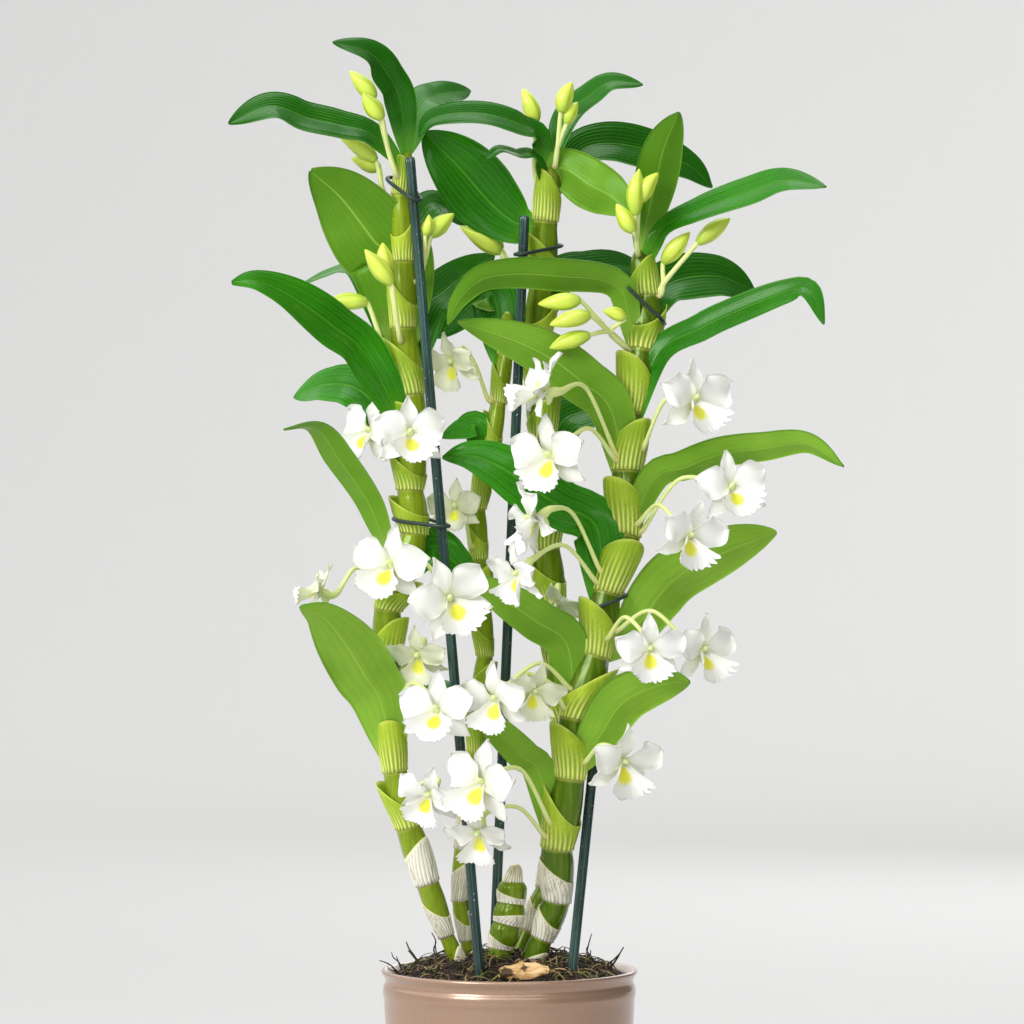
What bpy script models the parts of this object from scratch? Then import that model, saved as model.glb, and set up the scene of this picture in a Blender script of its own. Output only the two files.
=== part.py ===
"""A potted dendrobium orchid: jointed canes with leaves, buds and blooms, three stakes and a cover pot.

Lengths in the tables are millimetres and are turned to metres where a mesh is made. The origin is
the centre of the pot's underside, +Z is up, and the plant's show side faces -Y.
"""

import math
import random

import bpy
import numpy as np
from mathutils.bvhtree import BVHTree

MM = 0.001

# Pot
POT_HEIGHT = 125.0
RIM_RADIUS = 67.6
BASE_RADIUS = 56.0
POT_FLOOR = 5.0
POT_STEPS = 32

# Growing mix
MIX_GAP = 0.4
MIX_EDGE = 119.5
MIX_MOUND = 13.0
HOLE_GAP = 0.4

# Shape of sepals and petals: share of the length, share of the width
SEPAL = ((0.04, 0.16), (0.52, 1.0), (1.0, 0.14))
PETAL = ((0.04, 0.1), (0.42, 0.86), (0.76, 1.0), (1.0, 0.4))

# Blades
LEAF_THICK = 0.9
PETAL_THICK = 0.8
LEAF_STEP = 30.0

# Stems
CANE_SIDES = 7
SLIM_SIDES = 6
STAKE_RADIUS = 2.6
WIRE_RADIUS = 1.0
STALK_GAP = 0.35

# Each cane: x, y, z of a joint and the radius of the swollen stem there
CANES = {
    "cane_left": [
        (-21, 4, 116, 4.0), (-33, 0, 142, 4.6), (-43, -3, 170, 7.1), (-53, -6, 200, 7.8),
        (-60, -8, 229, 7.2), (-63, -8, 259, 7.0), (-64, -8, 287, 7.6), (-64, -8, 314, 8.2),
        (-56, -8, 334, 8.0), (-50, -8, 354, 8.2), (-52, -8, 377, 8.0), (-51, -8, 401, 7.8),
        (-51, -8, 427, 7.6), (-56, -8, 462, 7.2), (-55, -8, 497, 6.4), (-57, -8, 532, 5.6),
        (-53, -8, 555, 3.6),
    ],
    "cane_right": [
        (6, 0, 116, 5.0), (17, -1, 141, 6.8), (25, -4, 161, 8.2), (25, -8, 189, 9.6),
        (32, -12, 226, 8.8), (34, -12, 257, 9.2), (45, -10, 290, 8.8), (51, -8, 323, 9.0),
        (61, -4, 353, 9.2), (62, -1, 387, 9.2), (64, 2, 418, 7.8), (70, 5, 451, 9.6),
        (73, 8, 480, 8.0), (68, 8, 504, 5.0),
    ],
    "cane_middle": [
        (-1, 16, 115, 5.0), (10, 20, 142, 6.2), (20, 24, 164, 7.2), (27, 28, 192, 8.0),
        (31, 30, 222, 8.2), (30, 30, 253, 8.0), (26, 30, 284, 8.0), (23, 30, 315, 8.0),
        (20, 29, 346, 8.0), (19, 28, 376, 8.0), (18, 26, 405, 8.0), (16, 24, 432, 8.0),
        (15, 22, 457, 7.8), (17, 20, 486, 7.4), (19, 18, 520, 7.8), (23, 16, 552, 5.0),
    ],
    "cane_slim": [
        (-18, 14, 115, 3.2), (-23, 14, 138, 3.6), (-27, 14, 159, 4.0), (-25, 14, 187, 4.9),
        (-22, 14, 213, 4.8), (-18, 14, 238, 5.0), (-16, 14, 264, 5.0), (-13, 14, 289, 5.0),
        (-14, 14, 314, 5.2), (-16, 14, 340, 5.0), (-17, 14, 367, 5.0), (-10, 15, 396, 4.8),
        (-6, 17, 423, 4.8), (-2, 21, 449, 4.6), (-1, 24, 472, 4.0),
    ],
    "cane_stub": [
        (-6, -4, 117, 5.0), (-5, -4, 136, 7.0), (-1, -4, 149, 8.4), (1, -4, 160, 8.0),
        (2, -4, 173, 7.4),
    ],
    "cane_old": [
        (-18, 28, 113, 3.6), (-20, 28, 131, 4.0), (-22, 28, 145, 5.0), (-24, 28, 159, 5.2),
        (-24, 28, 172, 4.6),
    ],
}

# Each leaf: joint it grows from, width, tilt of its upper face at the base and at the tip (90 shows
# the upper face to the front, -90 the underside), then the points that its midrib runs through
LEAVES = {
    "cane_left": [
        (15.8, 19, 60, 60, [(-57, -17, 580), (-64, -26, 594), (-73, -35, 604), (-91, -48, 608)]),
        (15.6, 22, 50, 60, [(-72, -16, 563), (-88, -24, 567), (-105, -34, 570), (-123, -45, 575),
                            (-144, -60, 565)]),
        (15.9, 20, 50, 70, [(-47, 12, 580), (-37, 28, 588), (-21, 48, 592)]),
        (12.6, 46, -80, -65, [(-62, -8, 497), (-71, -9, 508), (-88, -13, 530), (-104, -18, 544)]),
        (11.0, 27, 60, 60, [(-74, -23, 446), (-92, -36, 462), (-113, -50, 477), (-130, -61, 484),
                            (-142, -67, 483)]),
        (12.0, 16, 25, 35, [(-75, 16, 485), (-85, 27, 495), (-98, 38, 493), (-111, 48, 488)]),
        (10.8, 26, 60, 60, [(-77, 8, 428), (-97, 18, 433), (-115, 32, 427)]),
        (8.2, 18, -30, -30, [(-65, -11, 350), (-74, -16, 371), (-88, -27, 392), (-100, -39, 409),
                             (-116, -51, 408)]),
        (4.0, 34, -80, -60, [(-67, -20, 265), (-75, -30, 280), (-84, -43, 296), (-95, -57, 311),
                             (-107, -65, 317)]),
        (4.6, 22, 60, 60, [(-52, 12, 262), (-41, 29, 268), (-27, 49, 273)]),
        (7.6, 22, 60, 60, [(-42, -3, 347), (-30, -1, 340), (-18, 1, 327)]),
        (14.2, 18, 60, 60, [(-44, 10, 526), (-35, 19, 528), (-22, 31, 519)]),
        (12.2, 26, 60, 60, [(-45, 3, 471), (-34, 13, 483), (-21, 22, 494), (-8, 28, 503)]),
    ],
    "cane_right": [
        (12.8, 23, -90, -80, [(73, 3, 522), (77, -6, 540), (81, -18, 557), (88, -34, 573)]),
        (12.5, 21, 45, 60, [(80, 2, 514), (100, -11, 524), (125, -28, 532), (143, -40, 537),
                            (163, -54, 533)]),
        (11.3, 28, 70, 70, [(82, 20, 485), (109, 39, 492), (132, 57, 485)]),
        (10.7, 19, -55, -70, [(61, -3, 477), (56, -5, 485), (46, -10, 488), (28, -17, 489),
                              (5, -23, 490), (-14, -29, 487), (-26, -33, 476), (-32, -32, 463)]),
        (8.6, 27, -65, -65, [(54, -8, 418), (38, -13, 434), (22, -16, 446), (6, -19, 454),
                             (-11, -21, 460), (-27, -20, 465)]),
        (6.6, 33, 50, 60, [(46, -12, 356), (27, -16, 368), (11, -18, 378), (-5, -18, 389),
                           (-21, -16, 395), (-35, -12, 394)]),
        (4.7, 24, -65, -65, [(31, -16, 294), (15, -20, 308), (0, -20, 318), (-13, -18, 326),
                             (-25, -14, 329)]),
        (2.8, 18, -65, -65, [(16, -12, 228), (8, -16, 237), (-4, -18, 249), (-15, -18, 259),
                             (-28, -14, 266)]),
        (4.0, 27, -70, -70, [(45, -21, 246), (57, -30, 265), (69, -39, 274), (82, -49, 278),
                             (93, -56, 279)]),
        (5.9, 32, -70, -70, [(63, -9, 301), (76, -7, 319), (87, -2, 331), (101, 3, 339),
                             (122, 11, 348), (142, 21, 355)]),
        (7.6, 20, -55, -55, [(75, -12, 382), (91, -18, 389), (110, -25, 396), (132, -33, 399),
                             (154, -44, 401), (172, -55, 389)]),
        (9.5, 19, 45, 60, [(77, -3, 447), (101, -7, 462), (118, -12, 470), (144, -22, 480),
                           (156, -29, 481), (163, -39, 463)]),
    ],
    "cane_middle": [
        (14.6, 17, 50, 60, [(16, 8, 564), (7, 0, 569), (-10, -8, 574), (-27, -17, 574),
                            (-41, -24, 570), (-47, -30, 561)]),
        (13.9, 38, 75, 75, [(5, 16, 518), (-10, 14, 529), (-27, 10, 548), (-45, 6, 566)]),
        (14.9, 16, 50, 50, [(27, 18, 568), (33, 19, 579), (43, 20, 587), (54, 21, 594),
                            (71, 23, 593)]),
        (14.3, 26, 60, 70, [(35, 29, 556), (52, 39, 563), (76, 52, 560), (97, 64, 553),
                            (110, 72, 542)]),
        (14.5, 27, -80, -80, [(27, 11, 548), (43, 2, 538), (53, -5, 532), (64, -12, 522)]),
        (14.4, 10, 40, 40, [(14, 7, 553), (5, 0, 554), (-5, -7, 556), (-12, -14, 550)]),
        (12.1, 22, 60, 60, [(27, 31, 491), (43, 40, 496), (59, 50, 498), (77, 61, 495)]),
        (9.1, 26, 60, 60, [(27, 38, 412), (43, 49, 421), (65, 63, 432)]),
    ],
    "cane_slim": [
        (12.6, 26, 60, 60, [(-8, 32, 480), (-18, 34, 478), (-29, 35, 469), (-39, 37, 459)]),
        (10.5, 16, 60, 60, [(-16, 12, 410), (-25, 10, 409), (-36, 8, 405)]),
    ],
}

# Each bloom: cane and joint of its stalk, its centre, the way that it faces (degrees to the right
# of the front, degrees up), its roll, and the length of its petals
BLOOMS = [
    ("cane_left", 11.3, (-52, -41, 405), 15, 5, 0, 20),
    ("cane_left", 11.4, (-72, -12, 407), -45, 0, 15, 19),
    ("cane_left", 8.4, (-61, -34, 337), -25, 0, 10, 22),
    ("cane_left", 7.8, (-31, -51, 320), 20, -5, -25, 23),
    ("cane_left", 7.6, (-98, -30, 324), -80, 25, 0, 15),
    ("cane_left", 5.7, (-47, -25, 291), -20, -35, 0, 17),
    ("cane_left", 5.3, (-37, -40, 262), -15, 5, 0, 21),
    ("cane_left", 3.4, (-38, -28, 220), -30, -30, 20, 18),
    ("cane_slim", 12.1, (-29, 4, 445), -35, -30, 0, 17),
    ("cane_right", 9.3, (18, -47, 428), -75, 20, 10, 21),
    ("cane_right", 9.2, (22, -44, 394), -30, -10, 0, 22),
    ("cane_right", 7.4, (14, -45, 362), -70, -15, -20, 21),
    ("cane_right", 7.2, (6, -50, 334), -55, -30, 10, 18),
    ("cane_middle", 7.1, (25, 8, 317), -10, -50, 0, 17),
    ("cane_slim", 9.3, (-28, 0, 368), -15, -10, 0, 15),
    ("cane_right", 5.5, (-6, -44, 269), -30, -20, 0, 20),
    ("cane_right", 5.2, (12, -36, 273), 20, -35, 10, 17),
    ("cane_right", 3.4, (-13, -55, 226), -35, -10, 15, 23),
    ("cane_right", 3.2, (-15, -42, 200), -25, -45, 0, 18),
    ("cane_right", 9.4, (95, -26, 423), 35, 0, 0, 22),
    ("cane_right", 8.1, (115, -34, 377), 20, 5, -10, 20),
    ("cane_right", 8.2, (92, -38, 353), 30, -15, 10, 20),
    ("cane_right", 6.3, (73, -45, 294), 10, -20, 0, 19),
    ("cane_right", 6.4, (99, -40, 293), 40, -5, 0, 20),
    ("cane_right", 4.3, (58, -36, 236), 30, -25, 0, 21),
]

# Each bud cluster: cane, joint, and for each bud the foot and the tip of the closed bud
BUDS = [
    ("cane_left", 15.4, [((-70, -29, 581), (-83, -29, 595)), ((-66, -31, 570), (-76, -35, 583))]),
    ("cane_left", 14.9, [((-70, -8, 550), (-90, -8, 564)), ((-68, -4, 546), (-83, -2, 552))]),
    ("cane_left", 13.7, [((-41, -15, 510), (-29, -13, 522)), ((-44, -19, 510), (-42, -19, 521))]),
    ("cane_middle", 13.0, [((-5, 14, 503), (-26, 12, 517)), ((-4, 18, 505), (-17, 18, 517))]),
    ("cane_left", 12.8, [((-61, -31, 484), (-75, -33, 502)), ((-63, -25, 490), (-66, -25, 506))]),
    ("cane_left", 12.3, [((-74, -22, 475), (-94, -24, 476))]),
    ("cane_middle", 14.6, [((14, 15, 572), (7, 13, 590))]),
    ("cane_middle", 14.9, [((27, 0, 576), (33, -2, 592)), ((30, 2, 570), (36, 4, 582))]),
    ("cane_right", 12.9, [((66, -16, 521), (68, -18, 545)), ((68, -16, 528), (78, -18, 543)),
                          ((65, -16, 512), (56, -14, 527))]),
    ("cane_right", 12.0, [((81, 2, 497), (95, -2, 513)), ((99, -4, 507), (116, -6, 520))]),
    ("cane_right", 11.0, [((37, -25, 476), (15, -25, 474)), ((42, -27, 468), (21, -29, 463)),
                          ((42, -23, 458), (21, -23, 451)), ((61, -15, 467), (49, -17, 471))]),
]

# Each stake: its foot and its top
STAKES = {
    "stake_left": ((-14, -30, 108), (-52, -18, 551)),
    "stake_middle": ((-9, 18, 108), (8, 5, 522)),
    "stake_right": ((31, -20, 108), (70, 24, 478)),
}

# Each closed tie: the stake and the cane that it goes round, its height, how far its back stands
# above its middle, and how far its right side does
TIES = [
    ("tie_1", "stake_left", "cane_left", 534, 4.0, -4.0),
    ("tie_2", "stake_left", "cane_left", 360, 2.0, -1.0),
    ("tie_3", "stake_middle", "cane_middle", 504, 2.0, 2.0),
    ("tie_4", "stake_right", "cane_right", 319, 1.0, 4.0),
]

# The open tie at the top of the right stake: from its free end across the cane to its hook
OPEN_TIE = [
    (62, -7, 484), (70, -7, 476), (79, -5, 468), (82, 4, 465), (81, 17, 466), (75, 28, 467),
    (66, 28, 468), (64, 21, 469),
]

# Twigs and bark slivers that stand out of the growing mix: foot, tip and thickness
TWIGS = [
    ((-50, -8, 117), (-68, -12, 131), 1.0), ((-44, 14, 118), (-55, 16, 138), 1.2),
    ((-36, 22, 120), (-41, 26, 141), 1.0), ((-52, 4, 117), (-62, 6, 134), 0.9),
    ((48, 10, 118), (60, 12, 135), 1.2), ((40, 24, 119), (44, 30, 140), 1.0),
    ((34, -28, 118), (52, -30, 127), 1.3), ((-30, -34, 118), (-46, -30, 128), 1.4),
]

# Colours of the plain materials
COLOURS = {
    "pot_lacquer": ((0.36, 0.22, 0.16), 0.8, 0.3),
    "growing_mix": ((0.035, 0.017, 0.009), 0.0, 0.95),
    "bark": ((0.72, 0.45, 0.2), 0.0, 0.85),
    "stake_plastic": ((0.02, 0.07, 0.06), 0.0, 0.4),
    "tie_plastic": ((0.01, 0.03, 0.02), 0.0, 0.4),
    "leafy_stem": ((0.1, 0.3, 0.03), 0.0, 0.35),
    "petal": ((0.88, 0.9, 0.82), 0.0, 0.5),
    "bud_skin": ((0.62, 0.72, 0.18), 0.0, 0.5),
}


def clear_scene():
    for item in list(bpy.data.objects):
        bpy.data.objects.remove(item)


def material(slot):
    found = bpy.data.materials.get(slot)
    if found:
        return found
    colour, metallic, roughness = COLOURS[slot]
    made = bpy.data.materials.new(slot)
    made.use_nodes = True
    shader = made.node_tree.nodes["Principled BSDF"]
    shader.inputs["Base Color"].default_value = (*colour, 1.0)
    shader.inputs["Metallic"].default_value = metallic
    shader.inputs["Roughness"].default_value = roughness
    made.diffuse_color = (*colour, 1.0)
    return made


def unit(vector):
    vector = np.array(vector, float)
    return vector / np.linalg.norm(vector)


def smooth_path(points, steps):
    """A smooth curve through the points, cut into steps of equal length."""
    points = np.array(points, float)
    before = 2 * points[0] - points[1]
    after = 2 * points[-1] - points[-2]
    run = np.vstack([before, points, after])
    dense = []
    for i in range(len(points) - 1):
        a, b, c, d = run[i:i + 4]
        for t in np.linspace(0.0, 1.0, 12, endpoint=False):
            bend = (2 * a - 5 * b + 4 * c - d) * t * t
            twist = (3 * b - a - 3 * c + d) * t ** 3
            dense.append(0.5 * (2 * b + (c - a) * t + bend + twist))
    dense.append(points[-1])
    dense = np.array(dense)
    lengths = np.linalg.norm(np.diff(dense, axis=0), axis=1)
    along = np.concatenate([[0.0], np.cumsum(lengths)])
    want = np.linspace(0.0, along[-1], steps + 1)
    return np.column_stack([np.interp(want, along, dense[:, k]) for k in range(3)])


def directions(path):
    ahead = np.gradient(path, axis=0)
    return ahead / np.linalg.norm(ahead, axis=1)[:, None]


def tube(path, radii, sides):
    """A closed round stem along the path: its points and its faces."""
    path = np.array(path, float)
    ahead = directions(path)
    across = np.array([0.0, 1.0, 0.0])
    if abs(ahead[0][1]) > 0.8:
        across = np.array([1.0, 0.0, 0.0])
    points = []
    for place, along, radius in zip(path, ahead, radii):
        across = unit(across - along * across.dot(along))
        other = np.cross(along, across)
        for k in range(sides):
            angle = 2 * math.pi * k / sides
            points.append(place + radius * (math.cos(angle) * across + math.sin(angle) * other))
    faces = []
    for i in range(len(path) - 1):
        for k in range(sides):
            a = i * sides + k
            b = i * sides + (k + 1) % sides
            faces.append((a, b, b + sides, a + sides))
    faces.append(tuple(reversed(range(sides))))
    faces.append(tuple(range((len(path) - 1) * sides, len(path) * sides)))
    return points, faces


def sheet(grid, thick):
    """A closed blade of even thickness on a grid of points, its two faces split alike."""
    grid = np.array(grid, float)
    rows, cols = grid.shape[:2]
    along = np.gradient(grid, axis=0)
    across = np.gradient(grid, axis=1)
    out = np.cross(across, along)
    out = out / np.linalg.norm(out, axis=2)[:, :, None]
    top = grid + out * thick / 2
    low = grid - out * thick / 2
    points = list(top.reshape(-1, 3)) + list(low.reshape(-1, 3))
    under = rows * cols
    faces = []
    for i in range(rows - 1):
        for j in range(cols - 1):
            a = i * cols + j
            b = a + 1
            c = b + cols
            d = a + cols
            faces += [(a, b, c), (a, c, d)]
            faces += [(under + a, under + c, under + b), (under + a, under + d, under + c)]
    for i in range(rows - 1):
        a = i * cols
        b = a + cols
        faces.append((a, b, under + b, under + a))
        a = i * cols + cols - 1
        b = a + cols
        faces.append((a, under + a, under + b, b))
    for j in range(cols - 1):
        a = j
        faces.append((a, under + a, under + a + 1, a + 1))
        a = (rows - 1) * cols + j
        faces.append((a, a + 1, under + a + 1, under + a))
    return points, faces


def leaf_width(t):
    """Share of the full width: a narrow foot, widest past the middle, a blunt tip."""
    return 2.45 * (t + 0.04) ** 0.9 * (1.004 - t) ** 0.55


def leaf(path, width, tilt_foot, tilt_tip):
    """A leaf that follows the path, folded a little along its midrib."""
    reach = np.linalg.norm(np.diff(np.array(path, float), axis=0), axis=1).sum()
    steps = min(6, max(3, round(reach / LEAF_STEP)))
    line = smooth_path(path, steps)
    ahead = directions(line)
    grid = []
    for i in range(steps + 1):
        t = i / steps
        tilt = math.radians(tilt_foot + (tilt_tip - tilt_foot) * t)
        face = np.array([0.0, -math.sin(tilt), math.cos(tilt)])
        face = unit(face - ahead[i] * face.dot(ahead[i]))
        side = np.cross(ahead[i], face)
        half = max(0.5 * width * leaf_width(t), 0.8)
        lift = 0.24 * half
        grid.append([line[i] + side * half * s + face * lift * abs(s) for s in (-1, 0, 1)])
    return sheet(grid, LEAF_THICK)


def cane_place(name, joint):
    """Centre and radius of a cane at a joint number, which may lie between two joints."""
    rows = np.array(CANES[name], float)
    low = min(int(joint), len(rows) - 2)
    part = joint - low
    row = rows[low] + (rows[low + 1] - rows[low]) * part
    return row[:3], row[3]


def cane_sides(name):
    return CANE_SIDES if name == "cane_right" else SLIM_SIDES


def cane_lines(name):
    """Rings of a cane: each joint is pinched, each stem between two joints swells, and the sheath
    that clasps its lower part flares to a rim."""
    rows = CANES[name]
    path = []
    radii = []
    rings = ((0.0, 0.84), (0.55, 1.04), (0.64, 0.88))
    if name in ("cane_middle", "cane_slim"):
        rings = ((0.0, 0.84), (0.6, 1.04))
    for low in range(len(rows) - 1):
        for part, share in rings:
            place, radius = cane_place(name, low + part)
            path.append(place)
            radii.append(radius * share)
    place, radius = cane_place(name, len(rows) - 1)
    path.append(place)
    radii.append(radius * 0.7)
    return path, radii


def skin_point(name, place, out):
    """Where a line out from inside a cane leaves its bare stem."""
    points, faces = tube(*cane_lines(name), cane_sides(name))
    stem = BVHTree.FromPolygons([tuple(p) for p in points], faces)
    hit = stem.ray_cast(tuple(place + out * 30.0), tuple(-out))[0]
    return np.array(hit, float)


def bloom(centre, turn, lift, roll, size):
    """Sepals, petals, lip and column of a bloom that faces the given way."""
    a = math.radians(turn)
    e = math.radians(lift)
    front = np.array([math.sin(a) * math.cos(e), -math.cos(a) * math.cos(e), math.sin(e)])
    up = unit(np.array([0.0, 0.0, 1.0]) - front * front[2])
    side = np.cross(up, front)
    r = math.radians(roll)
    up, side = up * math.cos(r) + side * math.sin(r), side * math.cos(r) - up * math.sin(r)
    shapes = []
    for angle, reach, width, cup, layer, shares in (
        (0, 1.0, 0.58, 0.08, -0.7, SEPAL), (125, 0.96, 0.6, 0.1, -0.7, SEPAL),
        (-125, 0.96, 0.6, 0.1, -0.7, SEPAL), (66, 1.04, 0.9, 0.2, 1.3, PETAL),
        (-66, 1.04, 0.9, 0.2, 1.3, PETAL),
    ):
        out = up * math.cos(math.radians(angle)) + side * math.sin(math.radians(angle))
        flank = np.cross(out, front)
        grid = []
        for t, share in shares:
            ahead = layer + size * cup * math.sin(2.6 * t)
            middle = centre + out * reach * size * t + front * ahead
            half = 0.5 * width * size * share
            grid.append([middle - flank * half, middle + flank * half])
        shapes.append(sheet(grid, PETAL_THICK))
    forward = unit(0.75 * front - 0.65 * up)
    over = np.cross(side, forward)
    if over.dot(up) < 0:
        over = -over
    grid = []
    for t, wide, wrap in ((0.0, 0.06, 2.1), (0.5, 0.27, 1.7), (1.0, 0.52, 1.15)):
        foot = centre + front * 0.6 + forward * size * 0.9 * t - over * size * 0.1 * min(1.0, 2.0 * t)
        row = []
        for s in (-1.0, -0.36, 0.36, 1.0):
            ring = math.sin(wrap * s) * side + (1 - math.cos(wrap * s)) * over
            row.append(foot + ring * size * wide)
        grid.append(row)
    shapes.append(sheet(grid, PETAL_THICK))
    tip = centre + unit(front + 0.5 * up) * size * 0.32
    shapes.append(tube([centre, tip], [1.7, 1.1], 3))
    return front, shapes


def flower(cane, joint, centre, turn, lift, roll, size):
    """A bloom on its curved stalk, which springs from just off the cane."""
    centre = np.array(centre, float)
    front, shapes = bloom(centre, turn, lift, roll, size)
    root, _ = cane_place(cane, joint)
    out = unit((centre - root) * np.array([1.0, 1.0, 0.0]))
    start = skin_point(cane, root, out) + out * STALK_GAP
    rise = max(6.0, 0.3 * np.linalg.norm(centre - start))
    knee = start + (centre - start) * 0.45 + np.array([0.0, 0.0, rise])
    back = centre - front * 9.0 + np.array([0.0, 0.0, 3.0])
    path = [start, start + out * 2.5, knee, back, centre - front * 2.2, centre + front * 2.2]
    stalk = tube(path, [1.4, 1.3, 1.1, 1.4, 3.0, 3.0], 4)
    return [stalk] + shapes


def bud_cluster(cane, joint, buds):
    """Closed buds on short stalks that meet at one foot just off the cane."""
    root, _ = cane_place(cane, joint)
    first = np.array(buds[0][0], float)
    out = unit((first - root) * np.array([1.0, 1.0, 0.0]))
    start = skin_point(cane, root, out) + out * STALK_GAP
    knee = start + out * 2.0
    fork = knee + (first - knee) * 0.4
    path = [start, knee, fork, first + (first - fork) * 0.15]
    shapes = [tube(path, [1.4, 1.4, 1.3, 1.2], 4)]
    for number, (low, tip) in enumerate(buds):
        low = np.array(low, float)
        tip = np.array(tip, float)
        if number:
            shapes.append(tube([fork - (low - fork) * 0.1, low + (tip - low) * 0.1], [1.1, 1.1], 4))
        length = np.linalg.norm(tip - low)
        thick = min(4.6, 0.27 * length)
        body = [low + (tip - low) * t for t in (0.0, 0.3, 0.68, 1.0)]
        shapes.append(tube(body, [1.1, 0.95 * thick, 0.95 * thick, 0.5], 5))
    return shapes


def belt(circles, gap, points):
    """Points of the band that goes round two circles (x, y, radius), with a gap."""
    ring = []
    for k in range(points):
        angle = 2 * math.pi * k / points
        away = np.array([math.cos(angle), math.sin(angle)])
        best = max(circles, key=lambda c: c[0] * away[0] + c[1] * away[1] + c[2])
        ring.append(np.array(best[:2]) + away * (best[2] + gap))
    return ring


def ring_tube(path, radius, sides):
    """A closed round loop along the path: its points and its faces."""
    count = len(path)
    points = []
    for i in range(count):
        ahead = unit(path[(i + 1) % count] - path[i - 1])
        across = unit(np.array([0.0, 0.0, 1.0]) - ahead * ahead[2])
        other = np.cross(ahead, across)
        for k in range(sides):
            angle = 2 * math.pi * k / sides
            points.append(path[i] + radius * (math.cos(angle) * across + math.sin(angle) * other))
    faces = []
    for i in range(count):
        for k in range(sides):
            a = i * sides + k
            b = i * sides + (k + 1) % sides
            c = ((i + 1) % count) * sides
            faces.append((a, b, c + (k + 1) % sides, c + k))
    return points, faces


def stake_at(name, height):
    foot, top = (np.array(p, float) for p in STAKES[name])
    return foot + (top - foot) * (height - foot[2]) / (top[2] - foot[2])


def cane_at(name, height):
    """Centre and widest nearby radius of a cane at a height."""
    rows = np.array(CANES[name], float)
    place = [np.interp(height, rows[:, 2], rows[:, k]) for k in range(2)]
    radius = np.interp(height, rows[:, 2], rows[:, 3])
    return np.array(place), radius * 1.06


def tie(stake, cane, height, rise_back, rise_right):
    post = stake_at(stake, height)
    stem, radius = cane_at(cane, height)
    flat = belt([(post[0], post[1], STAKE_RADIUS), (stem[0], stem[1], radius)], WIRE_RADIUS + 0.8, 12)
    middle = (post[:2] + stem) / 2
    reach = np.abs(post[:2] - stem) / 2 + radius
    path = []
    for place in flat:
        share = (place - middle) / reach
        level = height + rise_right * share[0] + rise_back * share[1]
        path.append(np.array([place[0], place[1], level]))
    return ring_tube(path, WIRE_RADIUS, 4)


def mesh_of(name, shape):
    points, faces = shape
    mesh = bpy.data.meshes.new(name)
    mesh.from_pydata([tuple(np.array(p, float) * MM) for p in points], [], faces)
    mesh.validate()
    return mesh


def add(name, shape, slot, round_piece=True):
    item = bpy.data.objects.new(name, mesh_of(name, shape))
    bpy.context.scene.collection.objects.link(item)
    item.data.materials.append(material(slot))
    if round_piece:
        item.data.shade_smooth()
    return item


def bake(item):
    """Replaces the object's mesh by what its modifiers make of it."""
    bpy.context.view_layer.update()
    graph = bpy.context.evaluated_depsgraph_get()
    made = bpy.data.meshes.new_from_object(item.evaluated_get(graph))
    item.modifiers.clear()
    old = item.data
    item.data = made
    bpy.data.meshes.remove(old)
    made.name = item.name


def fuse(name, shapes, slot, round_piece=True):
    """One solid from shapes whose roots are sunk well into each other."""
    whole = add(name, shapes[0], slot, round_piece)
    if len(shapes) == 1:
        return whole
    pieces = bpy.data.collections.new(name + "_pieces")
    bpy.context.scene.collection.children.link(pieces)
    for number, shape in enumerate(shapes[1:]):
        piece = bpy.data.objects.new(f"{name}_piece_{number}", mesh_of(name, shape))
        pieces.objects.link(piece)
    join = whole.modifiers.new("join", "BOOLEAN")
    join.operation = "UNION"
    join.operand_type = "COLLECTION"
    join.collection = pieces
    join.solver = "MANIFOLD"
    bake(whole)
    for piece in list(pieces.objects):
        bpy.data.objects.remove(piece)
    bpy.data.collections.remove(pieces)
    if round_piece:
        whole.data.shade_smooth()
    return whole


def pot_profile():
    """Radius and height round the wall of the pot, from the middle of the underside outwards."""
    return [
        (0.0, 0.0), (BASE_RADIUS - 1.5, 0.0), (BASE_RADIUS, 1.5), (61.7, 60.0), (65.6, 99.0),
        (66.0, 110.0), (66.7, 112.5), (66.4, 116.0), (65.3, 118.0), (65.4, 120.5),
        (RIM_RADIUS, 123.6), (RIM_RADIUS - 0.6, POT_HEIGHT), (RIM_RADIUS - 2.8, POT_HEIGHT),
        (RIM_RADIUS - 5.0, 121.0), (RIM_RADIUS - 5.2, 100.0), (BASE_RADIUS - 3.0, POT_FLOOR),
        (0.0, POT_FLOOR),
    ]


def inner_radius(height):
    wall = pot_profile()[12:16]
    heights = [p[1] for p in reversed(wall)]
    radii = [p[0] for p in reversed(wall)]
    return float(np.interp(height, heights, radii))


def lathe(name, profile, steps, slot):
    """A solid turned round the upright axis."""
    mesh = bpy.data.meshes.new(name)
    points = [(r * MM, 0.0, z * MM) for r, z in profile]
    mesh.from_pydata(points, [(i, i + 1) for i in range(len(points) - 1)], [])
    item = bpy.data.objects.new(name, mesh)
    bpy.context.scene.collection.objects.link(item)
    turn = item.modifiers.new("turn", "SCREW")
    turn.steps = steps
    turn.render_steps = steps
    turn.use_merge_vertices = True
    turn.merge_threshold = 0.00001
    turn.use_normal_calculate = True
    bake(item)
    item.data.materials.append(material(slot))
    item.data.shade_smooth()
    return item


def mix_height(x, y, random_bumps):
    """Height of the growing mix at a place: mounded behind the middle, rough all over."""
    mound = MIX_MOUND * math.exp(-(x * x + (y - 12.0) ** 2) / 1900.0)
    return MIX_EDGE + mound + random_bumps.uniform(-1.0, 1.0)


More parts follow.
